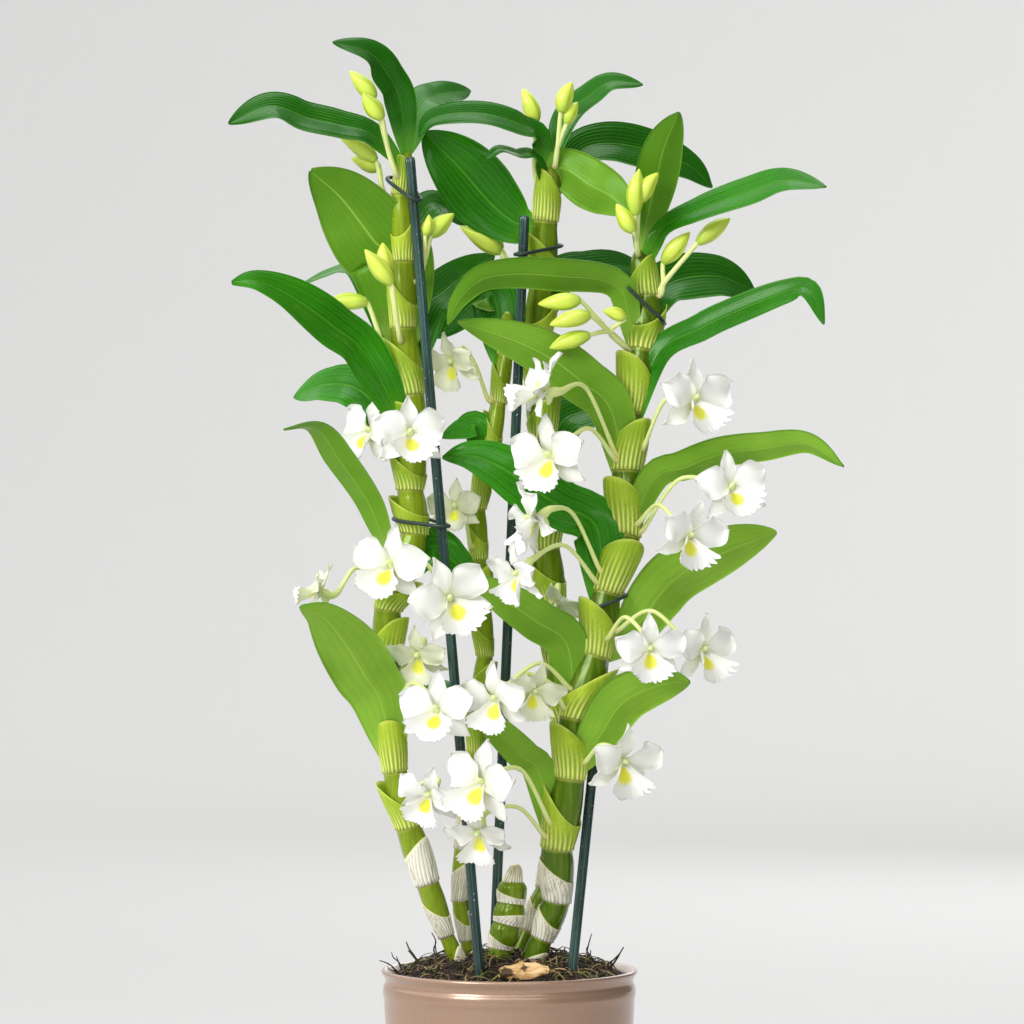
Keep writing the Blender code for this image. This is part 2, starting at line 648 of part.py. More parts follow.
def mix_shape():
    """The growing mix: it fills the pot, with a gap to the wall, and has a rough top."""
    bumps = random.Random(4)
    around = 20
    heights = (POT_FLOOR + MIX_GAP, 60.0, 100.0)
    points = []
    for height in heights:
        for k in range(around):
            angle = 2 * math.pi * k / around
            reach = inner_radius(height) * math.cos(math.pi / POT_STEPS) - MIX_GAP - 0.3
            points.append((reach * math.cos(angle), reach * math.sin(angle), height))
    reaches = (inner_radius(117.0) * math.cos(math.pi / POT_STEPS) - MIX_GAP - 0.4, 50.0, 38.0, 26.0, 14.0)
    for step, reach in enumerate(reaches):
        for k in range(around):
            angle = 2 * math.pi * (k + 0.5 * (step % 2)) / around
            x = reach * math.cos(angle)
            y = reach * math.sin(angle)
            level = 117.0 if step == 0 else mix_height(x, y, bumps)
            points.append((x, y, level))
    points.append((0.0, 0.0, mix_height(0.0, 0.0, bumps)))
    rows = len(heights) + len(reaches)
    faces = [tuple(reversed(range(around)))]
    for i in range(rows - 1):
        for k in range(around):
            a = i * around + k
            b = i * around + (k + 1) % around
            faces += [(a, b, b + around), (a, b + around, a + around)]
    last = (rows - 1) * around
    for k in range(around):
        faces.append((last + k, last + (k + 1) % around, len(points) - 1))
    return points, faces


def cut(item, cutters):
    """Takes the cutters out of the object, one after another."""
    for number, shape in enumerate(cutters):
        cutter = add(f"{item.name}_cutter_{number}", shape, "growing_mix")
        cutter.hide_render = True
        cutter.display_type = "WIRE"
        hole = item.modifiers.new("hole", "BOOLEAN")
        hole.operation = "DIFFERENCE"
        hole.object = cutter
        hole.solver = "EXACT"
        bake(item)
        bpy.data.objects.remove(cutter)


def build_pot():
    lathe("pot", pot_profile(), POT_STEPS, "pot_lacquer")


def build_mix():
    mix = fuse("substrate", [mix_shape()] + mix_twigs(), "growing_mix", False)
    cutters = []
    for name in CANES:
        path, radii = cane_lines(name)
        low = [i for i, place in enumerate(path) if place[2] < 150.0]
        line = [path[i] for i in low]
        wide = [max(radii[i], CANES[name][0][3]) + HOLE_GAP + 0.3 for i in low]
        line[0] = line[0] - unit(line[1] - line[0]) * HOLE_GAP
        cutters.append(tube(line, wide, cane_sides(name)))
    for name in STAKES:
        foot = stake_at(name, STAKES[name][0][2] - HOLE_GAP)
        top = stake_at(name, 150.0)
        cutters.append(tube([foot, top], [STAKE_RADIUS + HOLE_GAP + 0.2] * 2, 8))
    cut(mix, cutters)


def mix_twigs():
    shapes = []
    for foot, tip, thick in TWIGS:
        foot = np.array(foot, float)
        tip = np.array(tip, float)
        bend = (foot + tip) / 2 + np.array([0.0, 0.0, 1.2])
        shapes.append(tube([foot, bend, tip], [thick, thick, 0.6 * thick], 3))
    return shapes


def build_chip():
    grid = []
    for i in range(6):
        t = i / 5
        half = 5.2 * math.sin(math.pi * (0.14 + 0.74 * t))
        x = -5.5 + 25.0 * t
        y = -43.0 + 1.5 * math.sin(5.0 * t)
        z = 127.3 + 1.6 * t
        grid.append([(x, y - 0.45 * half, z - 0.9 * half), (x + 1.0, y - 1.2, z),
                     (x, y + 0.45 * half, z + 0.9 * half)])
    add("bark_chip", sheet(grid, 2.2), "bark", False)


def build_stakes():
    for name, (foot, top) in STAKES.items():
        foot = np.array(foot, float)
        top = np.array(top, float)
        ahead = unit(top - foot)
        across = unit(np.array([0.0, 1.0, 0.0]) - ahead * ahead[1])
        other = np.cross(ahead, across)
        points = []
        for place, share in ((foot, 0.75), (foot + ahead * 3.0, 1.0), (top - ahead * 1.2, 1.0),
                             (top, 0.8)):
            for k in range(12):
                angle = 2 * math.pi * k / 12
                radius = STAKE_RADIUS * share * (1.0 if k % 2 else 0.86)
                points.append(place + radius * (math.cos(angle) * across + math.sin(angle) * other))
        faces = [tuple(reversed(range(12))), tuple(range(36, 48))]
        for i in range(3):
            for k in range(12):
                a = i * 12 + k
                b = i * 12 + (k + 1) % 12
                faces.append((a, b, b + 12, a + 12))
        add(name, (points, faces), "stake_plastic", False)


def build_ties():
    for name, stake, cane, height, rise_back, rise_right in TIES:
        add(name, tie(stake, cane, height, rise_back, rise_right), "tie_plastic")
    add("tie_5", tube(smooth_path(OPEN_TIE, 11), [WIRE_RADIUS] * 12, 5), "tie_plastic")


def build_canes():
    for name in CANES:
        shapes = [tube(*cane_lines(name), cane_sides(name))]
        for joint, width, tilt_foot, tilt_tip, points in LEAVES.get(name, []):
            root, _ = cane_place(name, joint)
            shapes.append(leaf([root] + points, width, tilt_foot, tilt_tip))
        fuse(name, shapes, "leafy_stem")


def build_flowers():
    for number, row in enumerate(BLOOMS, 1):
        fuse(f"flower_{number:02d}", flower(*row), "petal")


def build_buds():
    for number, row in enumerate(BUDS, 1):
        fuse(f"buds_{number:02d}", bud_cluster(*row), "bud_skin")


def main():
    clear_scene()
    build_pot()
    build_mix()
    build_chip()
    build_stakes()
    build_ties()
    build_canes()
    build_flowers()
    build_buds()


main()
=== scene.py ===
"""The looks of a potted dendrobium orchid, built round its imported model.

Lengths are millimetres in the tables and shapes, and are turned to metres where a mesh is made.
The origin is the centre of the pot's underside, +Z is up, and the plant's show side faces -Y.
"""

import math
import random

import bpy
import numpy as np
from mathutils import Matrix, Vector, noise


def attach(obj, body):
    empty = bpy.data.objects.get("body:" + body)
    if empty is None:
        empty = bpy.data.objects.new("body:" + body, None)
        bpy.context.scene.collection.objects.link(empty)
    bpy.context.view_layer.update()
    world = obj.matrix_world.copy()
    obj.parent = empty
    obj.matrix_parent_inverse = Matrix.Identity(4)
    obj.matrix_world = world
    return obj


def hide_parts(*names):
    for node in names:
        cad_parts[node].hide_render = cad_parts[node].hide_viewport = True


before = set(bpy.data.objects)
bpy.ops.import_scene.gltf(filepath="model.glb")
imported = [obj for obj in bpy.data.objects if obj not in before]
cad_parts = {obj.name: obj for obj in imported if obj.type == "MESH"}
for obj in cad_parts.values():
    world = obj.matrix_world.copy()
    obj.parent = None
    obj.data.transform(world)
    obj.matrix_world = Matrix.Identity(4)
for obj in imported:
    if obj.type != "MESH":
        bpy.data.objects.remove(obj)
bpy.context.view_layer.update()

MM = 0.001
TURN = 2.0 * math.pi
UP = np.array([0.0, 0.0, 1.0])
RIGHT = np.array([1.0, 0.0, 0.0])

# Pot
POT_HEIGHT = 125.0
RIM_RADIUS = 67.6
BASE_RADIUS = 56.0
POT_FLOOR = 5.0
POT_ROUNDING = 1.6
POT_STEPS = 160

# Growing mix
MIX_EDGE = 119.5
MIX_MOUND = 12.5
MIX_RADIUS = 61.6
MIX_LOW = 6.0
MIX_SEED = 7
MIX_RINGS = 58
MIX_AROUND = 150
BARK_PIECES = 620
FIBRES = 560
TWIG_STEPS = 16
FIBRE_STEPS = 9

# Bark chip: its left end, its length and its thickness
CHIP_END = (-5.5, -43.0, 127.3)
CHIP_LENGTH = 25.0
CHIP_THICK = 2.0
CHIP_ROWS = 34
CHIP_COLS = 15

# Stems
STAKE_RADIUS = 2.6
STAKE_RIDGES = 9
WIRE_RADIUS = 1.0
WIRE_GAP = 0.8
WIRE_SIDES = 12
TIE_POINTS = 72
STEM_STEPS = 12
STEM_FLUTES = 8
CANE_AROUND = 40
RIBS = 22
RIB_POINTS = 5
RIB_HEIGHT = 0.55
SHEATH_FOOT = 0.01
SHEATH_ROWS = 10
SHEATH_THICK = 0.5

# Blades and buds
LEAF_ROWS = 44
LEAF_COLS = 17
LEAF_THICK = 0.9
PETAL_THICK = 0.5
TEPAL_ROWS = 26
TEPAL_COLS = 13
LIP_ROWS = 20
LIP_COLS = 59
BUD_ROWS = 20
BUD_SIDES = 24
BUD_SEAMS = 3
BUD_SEED = 300
BLOOM_SEED = 100

# Blooms of this size or less sit back in the shade, and are painted greener as painted shade
SMALL_BLOOM = 17
SHADED_BLOOM_TONE = 0.55

# Stalks: steps and sides of a bloom's and a bud's, and how far out from its axis a cane bears them
STALK_STEPS = 40
STALK_SIDES = 12
BUD_STALK_STEPS = 16
BUD_STALK_SIDES = 10
ROOT_SHARE = 0.8

# Numbers of a bloom's materials after its petals
LIP, STALK, CAP = 1, 2, 3

# Share of a bloom's stalk from its cane, and its radius there
STALK_RADII = [(0, 1.9), (0.06, 1.4), (0.3, 1.1), (0.72, 1.2), (0.86, 1.9), (0.95, 2.9), (1, 2.2)]

# Radii along the column of a bloom, and along the chin behind its lip
COLUMN_RADII = [1.7, 1.75, 1.7, 1.6, 1.5, 1.3, 0.5]
CHIN_RADII = [2.6, 2.6, 2.4, 2.2, 2.0, 1.8, 1.5, 1.2, 0.6]

# The breath of violet at the tips of petals and lips
VIOLET = (0.72, 0.5, 0.74)

# Below this height the sheaths of a cane are dry and papery
PAPER_BELOW = {
    "cane_left": 185.0, "cane_right": 180.0, "cane_middle": 180.0, "cane_slim": 200.0,
    "cane_stub": 400.0, "cane_old": 400.0,
}

# Old canes that end in a withered tip
CAPPED = ("cane_stub", "cane_old")
CAP_REACH = 10.0

# Studio, in metres: the floor's flat reach, the radius of its bend, and the top of its wall
FLOOR_FLAT = 3.0
FLOOR_BEND = 1.4
FLOOR_TOP = 1.5
FLOOR_AROUND = 96

# Each light: place and size in metres, and power in watts; all aim at one place
LIGHTS = [
    ("key_light", (-1.5, -1.7, 1.5), (1.1, 1.1), 34.0),
    ("strip_light", (-0.2, -2.1, 1.5), (3.4, 0.3), 12.0),
    ("top_light", (0.1, 0.2, 2.1), (1.4, 1.4), 14.0),
    ("back_light", (0.7, 1.9, 1.2), (1.2, 1.2), 8.0),
]
LIGHT_AIM = (0.0, 0.0, 0.33)

# Camera: its place in metres and its lens in millimetres
CAMERA_PLACE = (0.0014, -2.35, 0.3656)
CAMERA_LENS = 156.8

# Each cane: x, y, z of a joint and the radius of the swollen stem there
CANES = {
    "cane_left": [
        (-21, 4, 116, 4.0), (-33, 0, 142, 4.6), (-43, -3, 170, 7.1), (-53, -6, 200, 7.8),
        (-60, -8, 229, 7.2), (-63, -8, 259, 7.0), (-64, -8, 287, 7.6), (-64, -8, 314, 8.2),
        (-56, -8, 334, 8.0), (-50, -8, 354, 8.2), (-52, -8, 377, 8.0), (-51, -8, 401, 7.8),
        (-51, -8, 427, 7.6), (-56, -8, 462, 7.2), (-55, -8, 497, 6.4), (-57, -8, 532, 5.6),
        (-53, -8, 555, 3.6),
    ],
    "cane_right": [
        (6, 0, 116, 5.0), (17, -1, 141, 6.8), (25, -4, 161, 8.2), (25, -8, 189, 9.6),
        (32, -12, 226, 8.8), (34, -12, 257, 9.2), (45, -10, 290, 8.8), (51, -8, 323, 9.0),
        (61, -4, 353, 9.2), (62, -1, 387, 9.2), (64, 2, 418, 7.8), (70, 5, 451, 9.6),
        (73, 8, 480, 8.0), (68, 8, 504, 5.0),
    ],
    "cane_middle": [
        (-1, 16, 115, 5.0), (10, 20, 142, 6.2), (20, 24, 164, 7.2), (27, 28, 192, 8.0),
        (31, 30, 222, 8.2), (30, 30, 253, 8.0), (26, 30, 284, 8.0), (23, 30, 315, 8.0),
        (20, 29, 346, 8.0), (19, 28, 376, 8.0), (18, 26, 405, 8.0), (16, 24, 432, 8.0),
        (15, 22, 457, 7.8), (17, 20, 486, 7.4), (19, 18, 520, 7.8), (23, 16, 552, 5.0),
    ],
    "cane_slim": [
        (-18, 14, 115, 3.2), (-23, 14, 138, 3.6), (-27, 14, 159, 4.0), (-25, 14, 187, 4.9),
        (-22, 14, 213, 4.8), (-18, 14, 238, 5.0), (-16, 14, 264, 5.0), (-13, 14, 289, 5.0),
        (-14, 14, 314, 5.2), (-16, 14, 340, 5.0), (-17, 14, 367, 5.0), (-10, 15, 396, 4.8),
        (-6, 17, 423, 4.8), (-2, 21, 449, 4.6), (-1, 24, 472, 4.0),
    ],
    "cane_stub": [
        (-6, -4, 117, 5.0), (-5, -4, 136, 7.0), (-1, -4, 149, 8.4), (1, -4, 160, 8.0),
        (2, -4, 173, 7.4),
    ],
    "cane_old": [
        (-18, 28, 113, 3.6), (-20, 28, 131, 4.0), (-22, 28, 145, 5.0), (-24, 28, 159, 5.2),
        (-24, 28, 172, 4.6),
    ],
}

# Each leaf: joint it grows from, width, tilt of its upper face at the base and at the tip (90 shows
# the upper face to the front, -90 the underside), then the points that its midrib runs through
LEAVES = {
    "cane_left": [
        (15.8, 19, 60, 60, [(-57, -17, 580), (-64, -26, 594), (-73, -35, 604), (-91, -48, 608)]),
        (15.6, 22, 50, 60, [(-72, -16, 563), (-88, -24, 567), (-105, -34, 570), (-123, -45, 575),
                            (-144, -60, 565)]),
        (15.9, 20, 50, 70, [(-47, 12, 580), (-37, 28, 588), (-21, 48, 592)]),
        (12.6, 46, -80, -65, [(-62, -8, 497), (-71, -9, 508), (-88, -13, 530), (-104, -18, 544)]),
        (11.0, 27, 60, 60, [(-74, -23, 446), (-92, -36, 462), (-113, -50, 477), (-130, -61, 484),
                            (-142, -67, 483)]),
        (12.0, 16, 25, 35, [(-75, 16, 485), (-85, 27, 495), (-98, 38, 493), (-111, 48, 488)]),
        (10.8, 26, 60, 60, [(-77, 8, 428), (-97, 18, 433), (-115, 32, 427)]),
        (8.2, 18, -30, -30, [(-65, -11, 350), (-74, -16, 371), (-88, -27, 392), (-100, -39, 409),
                             (-116, -51, 408)]),
        (4.0, 34, -80, -60, [(-67, -20, 265), (-75, -30, 280), (-84, -43, 296), (-95, -57, 311),
                             (-107, -65, 317)]),
        (4.6, 22, 60, 60, [(-52, 12, 262), (-41, 29, 268), (-27, 49, 273)]),
        (7.6, 22, 60, 60, [(-42, -3, 347), (-30, -1, 340), (-18, 1, 327)]),
        (14.2, 18, 60, 60, [(-44, 10, 526), (-35, 19, 528), (-22, 31, 519)]),
        (12.2, 26, 60, 60, [(-45, 3, 471), (-34, 13, 483), (-21, 22, 494), (-8, 28, 503)]),
    ],
    "cane_right": [
        (12.8, 23, -90, -80, [(73, 3, 522), (77, -6, 540), (81, -18, 557), (88, -34, 573)]),
        (12.5, 21, 45, 60, [(80, 2, 514), (100, -11, 524), (125, -28, 532), (143, -40, 537),
                            (163, -54, 533)]),
        (11.3, 28, 70, 70, [(82, 20, 485), (109, 39, 492), (132, 57, 485)]),
        (10.7, 19, -55, -70, [(61, -3, 477), (56, -5, 485), (46, -10, 488), (28, -17, 489),
                              (5, -23, 490), (-14, -29, 487), (-26, -33, 476), (-32, -32, 463)]),
        (8.6, 27, -65, -65, [(54, -8, 418), (38, -13, 434), (22, -16, 446), (6, -19, 454),
                             (-11, -21, 460), (-27, -20, 465)]),
        (6.6, 33, 50, 60, [(46, -12, 356), (27, -16, 368), (11, -18, 378), (-5, -18, 389),
                           (-21, -16, 395), (-35, -12, 394)]),
        (4.7, 24, -65, -65, [(31, -16, 294), (15, -20, 308), (0, -20, 318), (-13, -18, 326),
                             (-25, -14, 329)]),
        (2.8, 18, -65, -65, [(16, -12, 228), (8, -16, 237), (-4, -18, 249), (-15, -18, 259),
                             (-28, -14, 266)]),
        (4.0, 27, -70, -70, [(45, -21, 246), (57, -27, 265), (69, -34, 273), (82, -42, 277),
                             (93, -50, 278)]),
        (5.9, 32, -70, -70, [(63, -9, 301), (76, -7, 319), (87, -2, 331), (101, 3, 339),
                             (122, 11, 348), (142, 21, 355)]),
        (7.6, 20, -55, -55, [(75, -12, 382), (91, -18, 389), (110, -25, 396), (132, -33, 399),
                             (154, -44, 401), (172, -55, 389)]),
        (9.5, 19, 45, 60, [(77, -3, 447), (101, -7, 462), (118, -12, 470), (144, -22, 480),
                           (156, -29, 481), (163, -39, 463)]),
    ],
    "cane_middle": [
        (14.6, 17, 50, 60, [(16, 8, 564), (7, 0, 569), (-10, -8, 574), (-27, -17, 574),
                            (-41, -24, 570), (-47, -30, 561)]),
        (13.9, 38, 75, 75, [(5, 16, 518), (-10, 14, 529), (-27, 10, 548), (-45, 6, 566)]),
        (14.9, 16, 50, 50, [(27, 18, 568), (33, 19, 579), (43, 20, 587), (54, 21, 594),
                            (71, 23, 593)]),
        (14.3, 26, 60, 70, [(35, 29, 556), (52, 39, 563), (76, 52, 560), (97, 64, 553),
                            (110, 72, 542)]),
        (14.5, 27, -80, -80, [(27, 11, 548), (43, 2, 538), (53, -5, 532), (64, -12, 522)]),
        (14.4, 10, 40, 40, [(14, 7, 553), (5, 0, 554), (-5, -7, 556), (-12, -14, 550)]),
        (12.1, 22, 60, 60, [(27, 31, 491), (43, 40, 496), (59, 50, 498), (77, 61, 495)]),
        (9.1, 26, 60, 60, [(27, 38, 412), (43, 49, 421), (65, 63, 432)]),
    ],
    "cane_slim": [
        (12.6, 26, 60, 60, [(-8, 32, 480), (-18, 34, 478), (-29, 35, 469), (-39, 37, 459)]),
        (10.5, 16, 60, 60, [(-16, 12, 410), (-25, 10, 409), (-36, 8, 405)]),
    ],
}

# Each bloom: cane and joint of its stalk, its centre, the way that it faces (degrees to the right
# of the front, degrees up), its roll, and the length of its petals
BLOOMS = [
    ("cane_left", 11.3, (-52, -41, 405), 15, 5, 0, 20),
    ("cane_left", 11.4, (-72, -12, 407), -45, 0, 15, 19),
    ("cane_left", 8.4, (-61, -34, 337), -25, 0, 10, 22),
    ("cane_left", 7.8, (-31, -51, 320), 20, -5, -25, 23),
    ("cane_left", 7.6, (-98, -30, 324), -80, 25, 0, 15),
    ("cane_left", 5.7, (-47, -20, 291), -20, -35, 0, 17),
    ("cane_left", 5.3, (-37, -43, 262), -15, 5, 0, 21),
    ("cane_left", 3.4, (-41, -33, 219), -30, -30, 20, 18),
    ("cane_slim", 12.1, (-29, 4, 445), -35, -30, 0, 17),
    ("cane_right", 9.3, (18, -47, 428), -75, 20, 10, 21),
    ("cane_right", 9.2, (22, -44, 394), -30, -10, 0, 22),
    ("cane_right", 7.4, (14, -45, 362), -70, -15, -20, 21),
    ("cane_right", 7.2, (6, -50, 334), -55, -30, 10, 18),
    ("cane_middle", 7.1, (25, 8, 317), -10, -50, 0, 17),
    ("cane_slim", 9.3, (-28, 0, 368), -15, -10, 0, 15),
    ("cane_right", 5.5, (-6, -48, 269), -30, -20, 0, 20),
    ("cane_right", 5.2, (12, -32, 273), 20, -35, 10, 17),
    ("cane_right", 3.4, (-13, -55, 226), -35, -10, 15, 23),
    ("cane_right", 3.2, (-15, -42, 200), -25, -45, 0, 18),
    ("cane_right", 9.4, (95, -26, 423), 35, 0, 0, 22),
    ("cane_right", 8.1, (115, -31, 377), 20, 5, -10, 20),
    ("cane_right", 8.2, (92, -42, 353), 30, -15, 10, 20),
    ("cane_right", 6.3, (72, -54, 295), 10, -20, 0, 19),
    ("cane_right", 6.4, (99, -35, 293), 40, -5, 0, 20),
    ("cane_right", 4.3, (58, -36, 236), 30, -25, 0, 21),
]

# Each bud cluster: cane, joint, and for each bud the foot and the tip of the closed bud
BUDS = [
    ("cane_left", 15.4, [((-70, -29, 581), (-83, -29, 595)), ((-66, -31, 570), (-76, -35, 583))]),
    ("cane_left", 14.9, [((-70, -8, 550), (-90, -8, 564)), ((-68, -4, 546), (-83, -2, 552))]),
    ("cane_left", 13.7, [((-41, -15, 510), (-29, -13, 522)), ((-44, -19, 510), (-42, -19, 521))]),
    ("cane_middle", 13.0, [((-5, 14, 503), (-26, 12, 517)), ((-4, 18, 505), (-17, 18, 517))]),
    ("cane_left", 12.8, [((-61, -31, 484), (-75, -33, 502)), ((-63, -25, 490), (-66, -25, 506))]),
    ("cane_left", 12.3, [((-74, -22, 475), (-94, -24, 476))]),
    ("cane_middle", 14.6, [((14, 15, 572), (7, 13, 590))]),
    ("cane_middle", 14.9, [((27, 0, 576), (33, -2, 592)), ((30, 2, 570), (36, 4, 582))]),
    ("cane_right", 12.9, [((66, -16, 521), (68, -18, 545)), ((68, -16, 528), (78, -18, 543)),
                          ((65, -16, 512), (56, -14, 527))]),
    ("cane_right", 12.0, [((81, 2, 497), (95, -2, 513)), ((99, -4, 507), (116, -6, 520))]),
    ("cane_right", 11.0, [((37, -25, 476), (15, -25, 474)), ((42, -27, 468), (21, -29, 463)),
                          ((42, -23, 458), (21, -23, 451)), ((61, -15, 467), (49, -17, 471))]),
]

# Each stake: its foot and its top
STAKES = {
    "stake_left": ((-14, -30, 108), (-52, -18, 551)),
    "stake_middle": ((-9, 18, 108), (8, 5, 522)),
    "stake_right": ((31, -20, 108), (70, 24, 478)),
}

# Each closed tie: the stake and the cane that it goes round, its height, how far its back stands
# above its middle, and how far its right side does
TIES = [
    ("tie_1", "stake_left", "cane_left", 534, 4.0, -4.0),
    ("tie_2", "stake_left", "cane_left", 360, 2.0, -1.0),
    ("tie_3", "stake_middle", "cane_middle", 504, 2.0, 2.0),
    ("tie_4", "stake_right", "cane_right", 319, 1.0, 4.0),
]

# The open tie at the top of the right stake: from its free end across the cane to its hook
OPEN_TIE = [
    (62, -7, 484), (70, -7, 476), (79, -5, 468), (82, 4, 465), (81, 17, 466), (75, 28, 467),
    (66, 28, 468), (64, 21, 469),
]

# Twigs and bark slivers that stand out of the growing mix: foot, tip and thickness
TWIGS = [
    ((-50, -8, 117), (-68, -12, 131), 1.0), ((-44, 14, 118), (-55, 16, 138), 1.2),
    ((-36, 22, 120), (-41, 26, 141), 1.0), ((-52, 4, 117), (-62, 6, 134), 0.9),
    ((48, 10, 118), (60, 12, 135), 1.2), ((40, 24, 119), (44, 30, 140), 1.0),
    ((34, -28, 118), (52, -30, 127), 1.3), ((-30, -34, 118), (-46, -30, 128), 1.4),
]


class Value:
    """A number or colour in a material's nodes, to reckon with as with a plain number."""

    def __init__(self, look, socket):
        self.look = look
        self.socket = socket

    def __add__(self, other):
        return self.look.calc("ADD", self, other)

    def __sub__(self, other):
        return self.look.calc("SUBTRACT", self, other)

    def __rsub__(self, other):
        return self.look.calc("SUBTRACT", other, self)

    def __mul__(self, other):
        return self.look.calc("MULTIPLY", self, other)

    def __pow__(self, other):
        return self.look.calc("POWER", self, other)

    def __abs__(self):
        return self.look.calc("ABSOLUTE", self)

    def span(self, low, high, start=0.0, end=1.0):
        """The value, taken from the range low to high to the range start to end."""
        feeds = dict(enumerate((self, low, high, start, end)))
        return self.look.node("MapRange", feeds, interpolation_type="SMOOTHSTEP")

    def waves(self, count, sharp=1.0):
        """Lines across the value, narrower where sharp is larger."""
        wave = self.look.calc("SINE", self * (count * TURN))
        return self.look.calc("MAXIMUM", wave) ** sharp


class Look:
    """A material on one Principled shader, with short calls that add the nodes it reads."""

    def __init__(self, name, **values):
        self.material = bpy.data.materials.new(name)
        self.material.use_nodes = True
        self.tree = self.material.node_tree
        self.shader = self.tree.nodes["Principled BSDF"]
        for key, value in values.items():
            self.shader.inputs[key.replace("_", " ")].default_value = value

    def put(self, socket, value):
        if isinstance(value, Value):
            self.tree.links.new(value.socket, socket)
        else:
            socket.default_value = (*value, 1.0) if socket.type == "RGBA" else value

    def set(self, key, value):
        self.put(self.shader.inputs[key], value)

    def node(self, kind, feeds, output=0, **settings):
        """One output of a new node that has these settings and takes these values."""
        node = self.tree.nodes.new("ShaderNode" + kind)
        for key, setting in settings.items():
            setattr(node, key, setting)
        for key, value in feeds.items():
            self.put(node.inputs[key], value)
        return Value(self, node.outputs[output])

    def place(self):
        return self.node("TexCoord", {}, "Object")

    def parts(self, vector):
        """The three numbers of a vector."""
        split = self.node("SeparateXYZ", {0: vector}).socket.node
        return [Value(self, socket) for socket in split.outputs]

    def values(self):
        """The look values of a piece: along it, across it, and its own tone."""
        return self.parts(self.node("Attribute", {}, "Vector", attribute_name="look"))

    def calc(self, operation, a, b=0.0):
        return self.node("Math", {0: a, 1: b}, operation=operation)

    def mix(self, share, first, second):
        return self.node("Mix", {0: share, 6: first, 7: second}, 2, data_type="RGBA")

    def noise(self, scale, detail=3.0, stretch=(1.0, 1.0, 1.0)):
        """Noise in the object's own space; the scale counts its waves in a metre."""
        place = self.node("Mapping", {"Vector": self.place(), "Scale": stretch})
        return self.node("TexNoise", {"Vector": place, "Scale": scale, "Detail": detail}, "Fac")

    def ground(self, share, first, second):
        """Sets the base colour to a mix of two."""
        self.colour = self.mix(share, first, second)
        self.set("Base Color", self.colour)

    def paint(self, share, colour):
        """Lays one more colour over the base colour."""
        self.ground(share, self.colour, colour)

    def rough(self, value, low, high):
        """Roughness that a noise leads from low to high."""
        self.set("Roughness", value.span(0.2, 0.8, low, high))

    def bump(self, height, strength, distance):
        """Relief from a height; the distance is in metres."""
        feeds = {"Height": height, "Strength": strength, "Distance": distance}
        self.set("Normal", self.node("Bump", feeds, "Normal"))


def leaf_look(name, deep, bright, rib, roughness, vein, gloss):
    """A waxy blade with fine veins side by side, as strong as given, and a midrib."""
    look = Look(name, Specular_IOR_Level=0.25, Specular_Tint=(0.3, 0.85, 0.12, 1.0), Coat_Weight=gloss,
                Coat_Roughness=0.17, Subsurface_Weight=0.08, Subsurface_Scale=0.002,
                Subsurface_Radius=(0.4, 1.0, 0.1))
    along, across, tone = look.values()
    patch = look.noise(26.0)
    look.ground((patch * 0.5 + tone * 0.8).span(0.3, 1.05), deep, bright)
    veins = across.waves(6.5, 2.0)
    strand = (across + patch * 0.5).waves(3.5)
    middle = abs(across).span(0.0, 0.045, 1.0, 0.0)
    look.paint(strand * (0.34 * vein), deep)
    look.paint(veins * (0.12 * vein), rib)
    look.paint(middle * 0.4, rib)
    look.paint(abs(across).span(0.94, 1.0) * 0.3, rib)
    look.paint(along.span(0.0, 0.2, 0.7, 0.0), rib)
    look.rough(look.noise(60.0), roughness, roughness + 0.14)
    relief = veins * (0.7 * vein) + look.noise(900.0, 2.0) * 0.12
    look.bump(relief - middle, 0.5, 0.0004)
    return look.material


def stem_look():
    """A glossy swollen stem, paler at its joints, with fine lengthwise streaks."""
    look = Look("stem_skin", Specular_IOR_Level=0.4, Specular_Tint=(0.6, 0.9, 0.2, 1.0), Coat_Weight=0.3,
                Coat_Roughness=0.05)
    along, _, tone = look.values()
    streak = look.noise(420.0, 3.0, (1.0, 1.0, 0.08))
    fresh = (streak * 0.7 + tone * 0.5).span(0.25, 0.95)
    look.ground(fresh, (0.06, 0.13, 0.003), (0.24, 0.34, 0.014))
    part = look.calc("FRACT", along)
    look.paint((part.span(0.0, 0.05, 1.0, 0.0) + part.span(0.95, 1.0)) * 0.6, (0.48, 0.5, 0.1))
    look.rough(look.noise(90.0), 0.14, 0.3)
    look.bump(streak, 0.15, 0.0003)
    return look.material


def sheath_look(name, ground, shade, rib, rim_colour, rib_reach, streaks, roughness):
    """A sheath with lengthwise ribs that are strongest at its foot, painted shade between them, and a pale
    rim.
    """
    look = Look(name, Specular_IOR_Level=0.35, Specular_Tint=(0.8, 0.9, 0.4, 1.0), Subsurface_Weight=0.08,
                Subsurface_Scale=0.0015, Subsurface_Radius=(0.8, 1.0, 0.3))
    along, ribs, tone = look.values()
    patch = look.noise(120.0, 4.0, (1.0, 1.0, 0.3))
    look.ground((patch * 0.8 + tone * 0.4).span(0.3, 0.95), shade, ground)
    low = along.span(0.1, rib_reach, 1.0, 0.0)
    # Darker between the ribs: on a green sheath this is painted shade in the valleys; on a dry one it draws
    # the thin dark lines of the paper
    look.paint((1.0 - ribs) * low * 0.65, shade)
    look.paint(ribs * (low + 0.1), rib)
    look.paint(look.noise(640.0, 4.0, (1.0, 1.0, 0.05)).span(0.5, 0.66, 0.0, streaks), shade)
    look.paint((along.span(0.93, 1.0) + along.span(0.0, 0.04, 0.8, 0.0)) * 0.8, rim_colour)
    look.paint(look.noise(75.0, 4.0).span(0.56, 0.72, 0.0, 0.35), shade)
    look.rough(look.noise(200.0), roughness, roughness + 0.15)
    look.bump(look.noise(700.0, 3.0, (1.0, 1.0, 0.06)), 0.3, 0.0003)
    return look.material


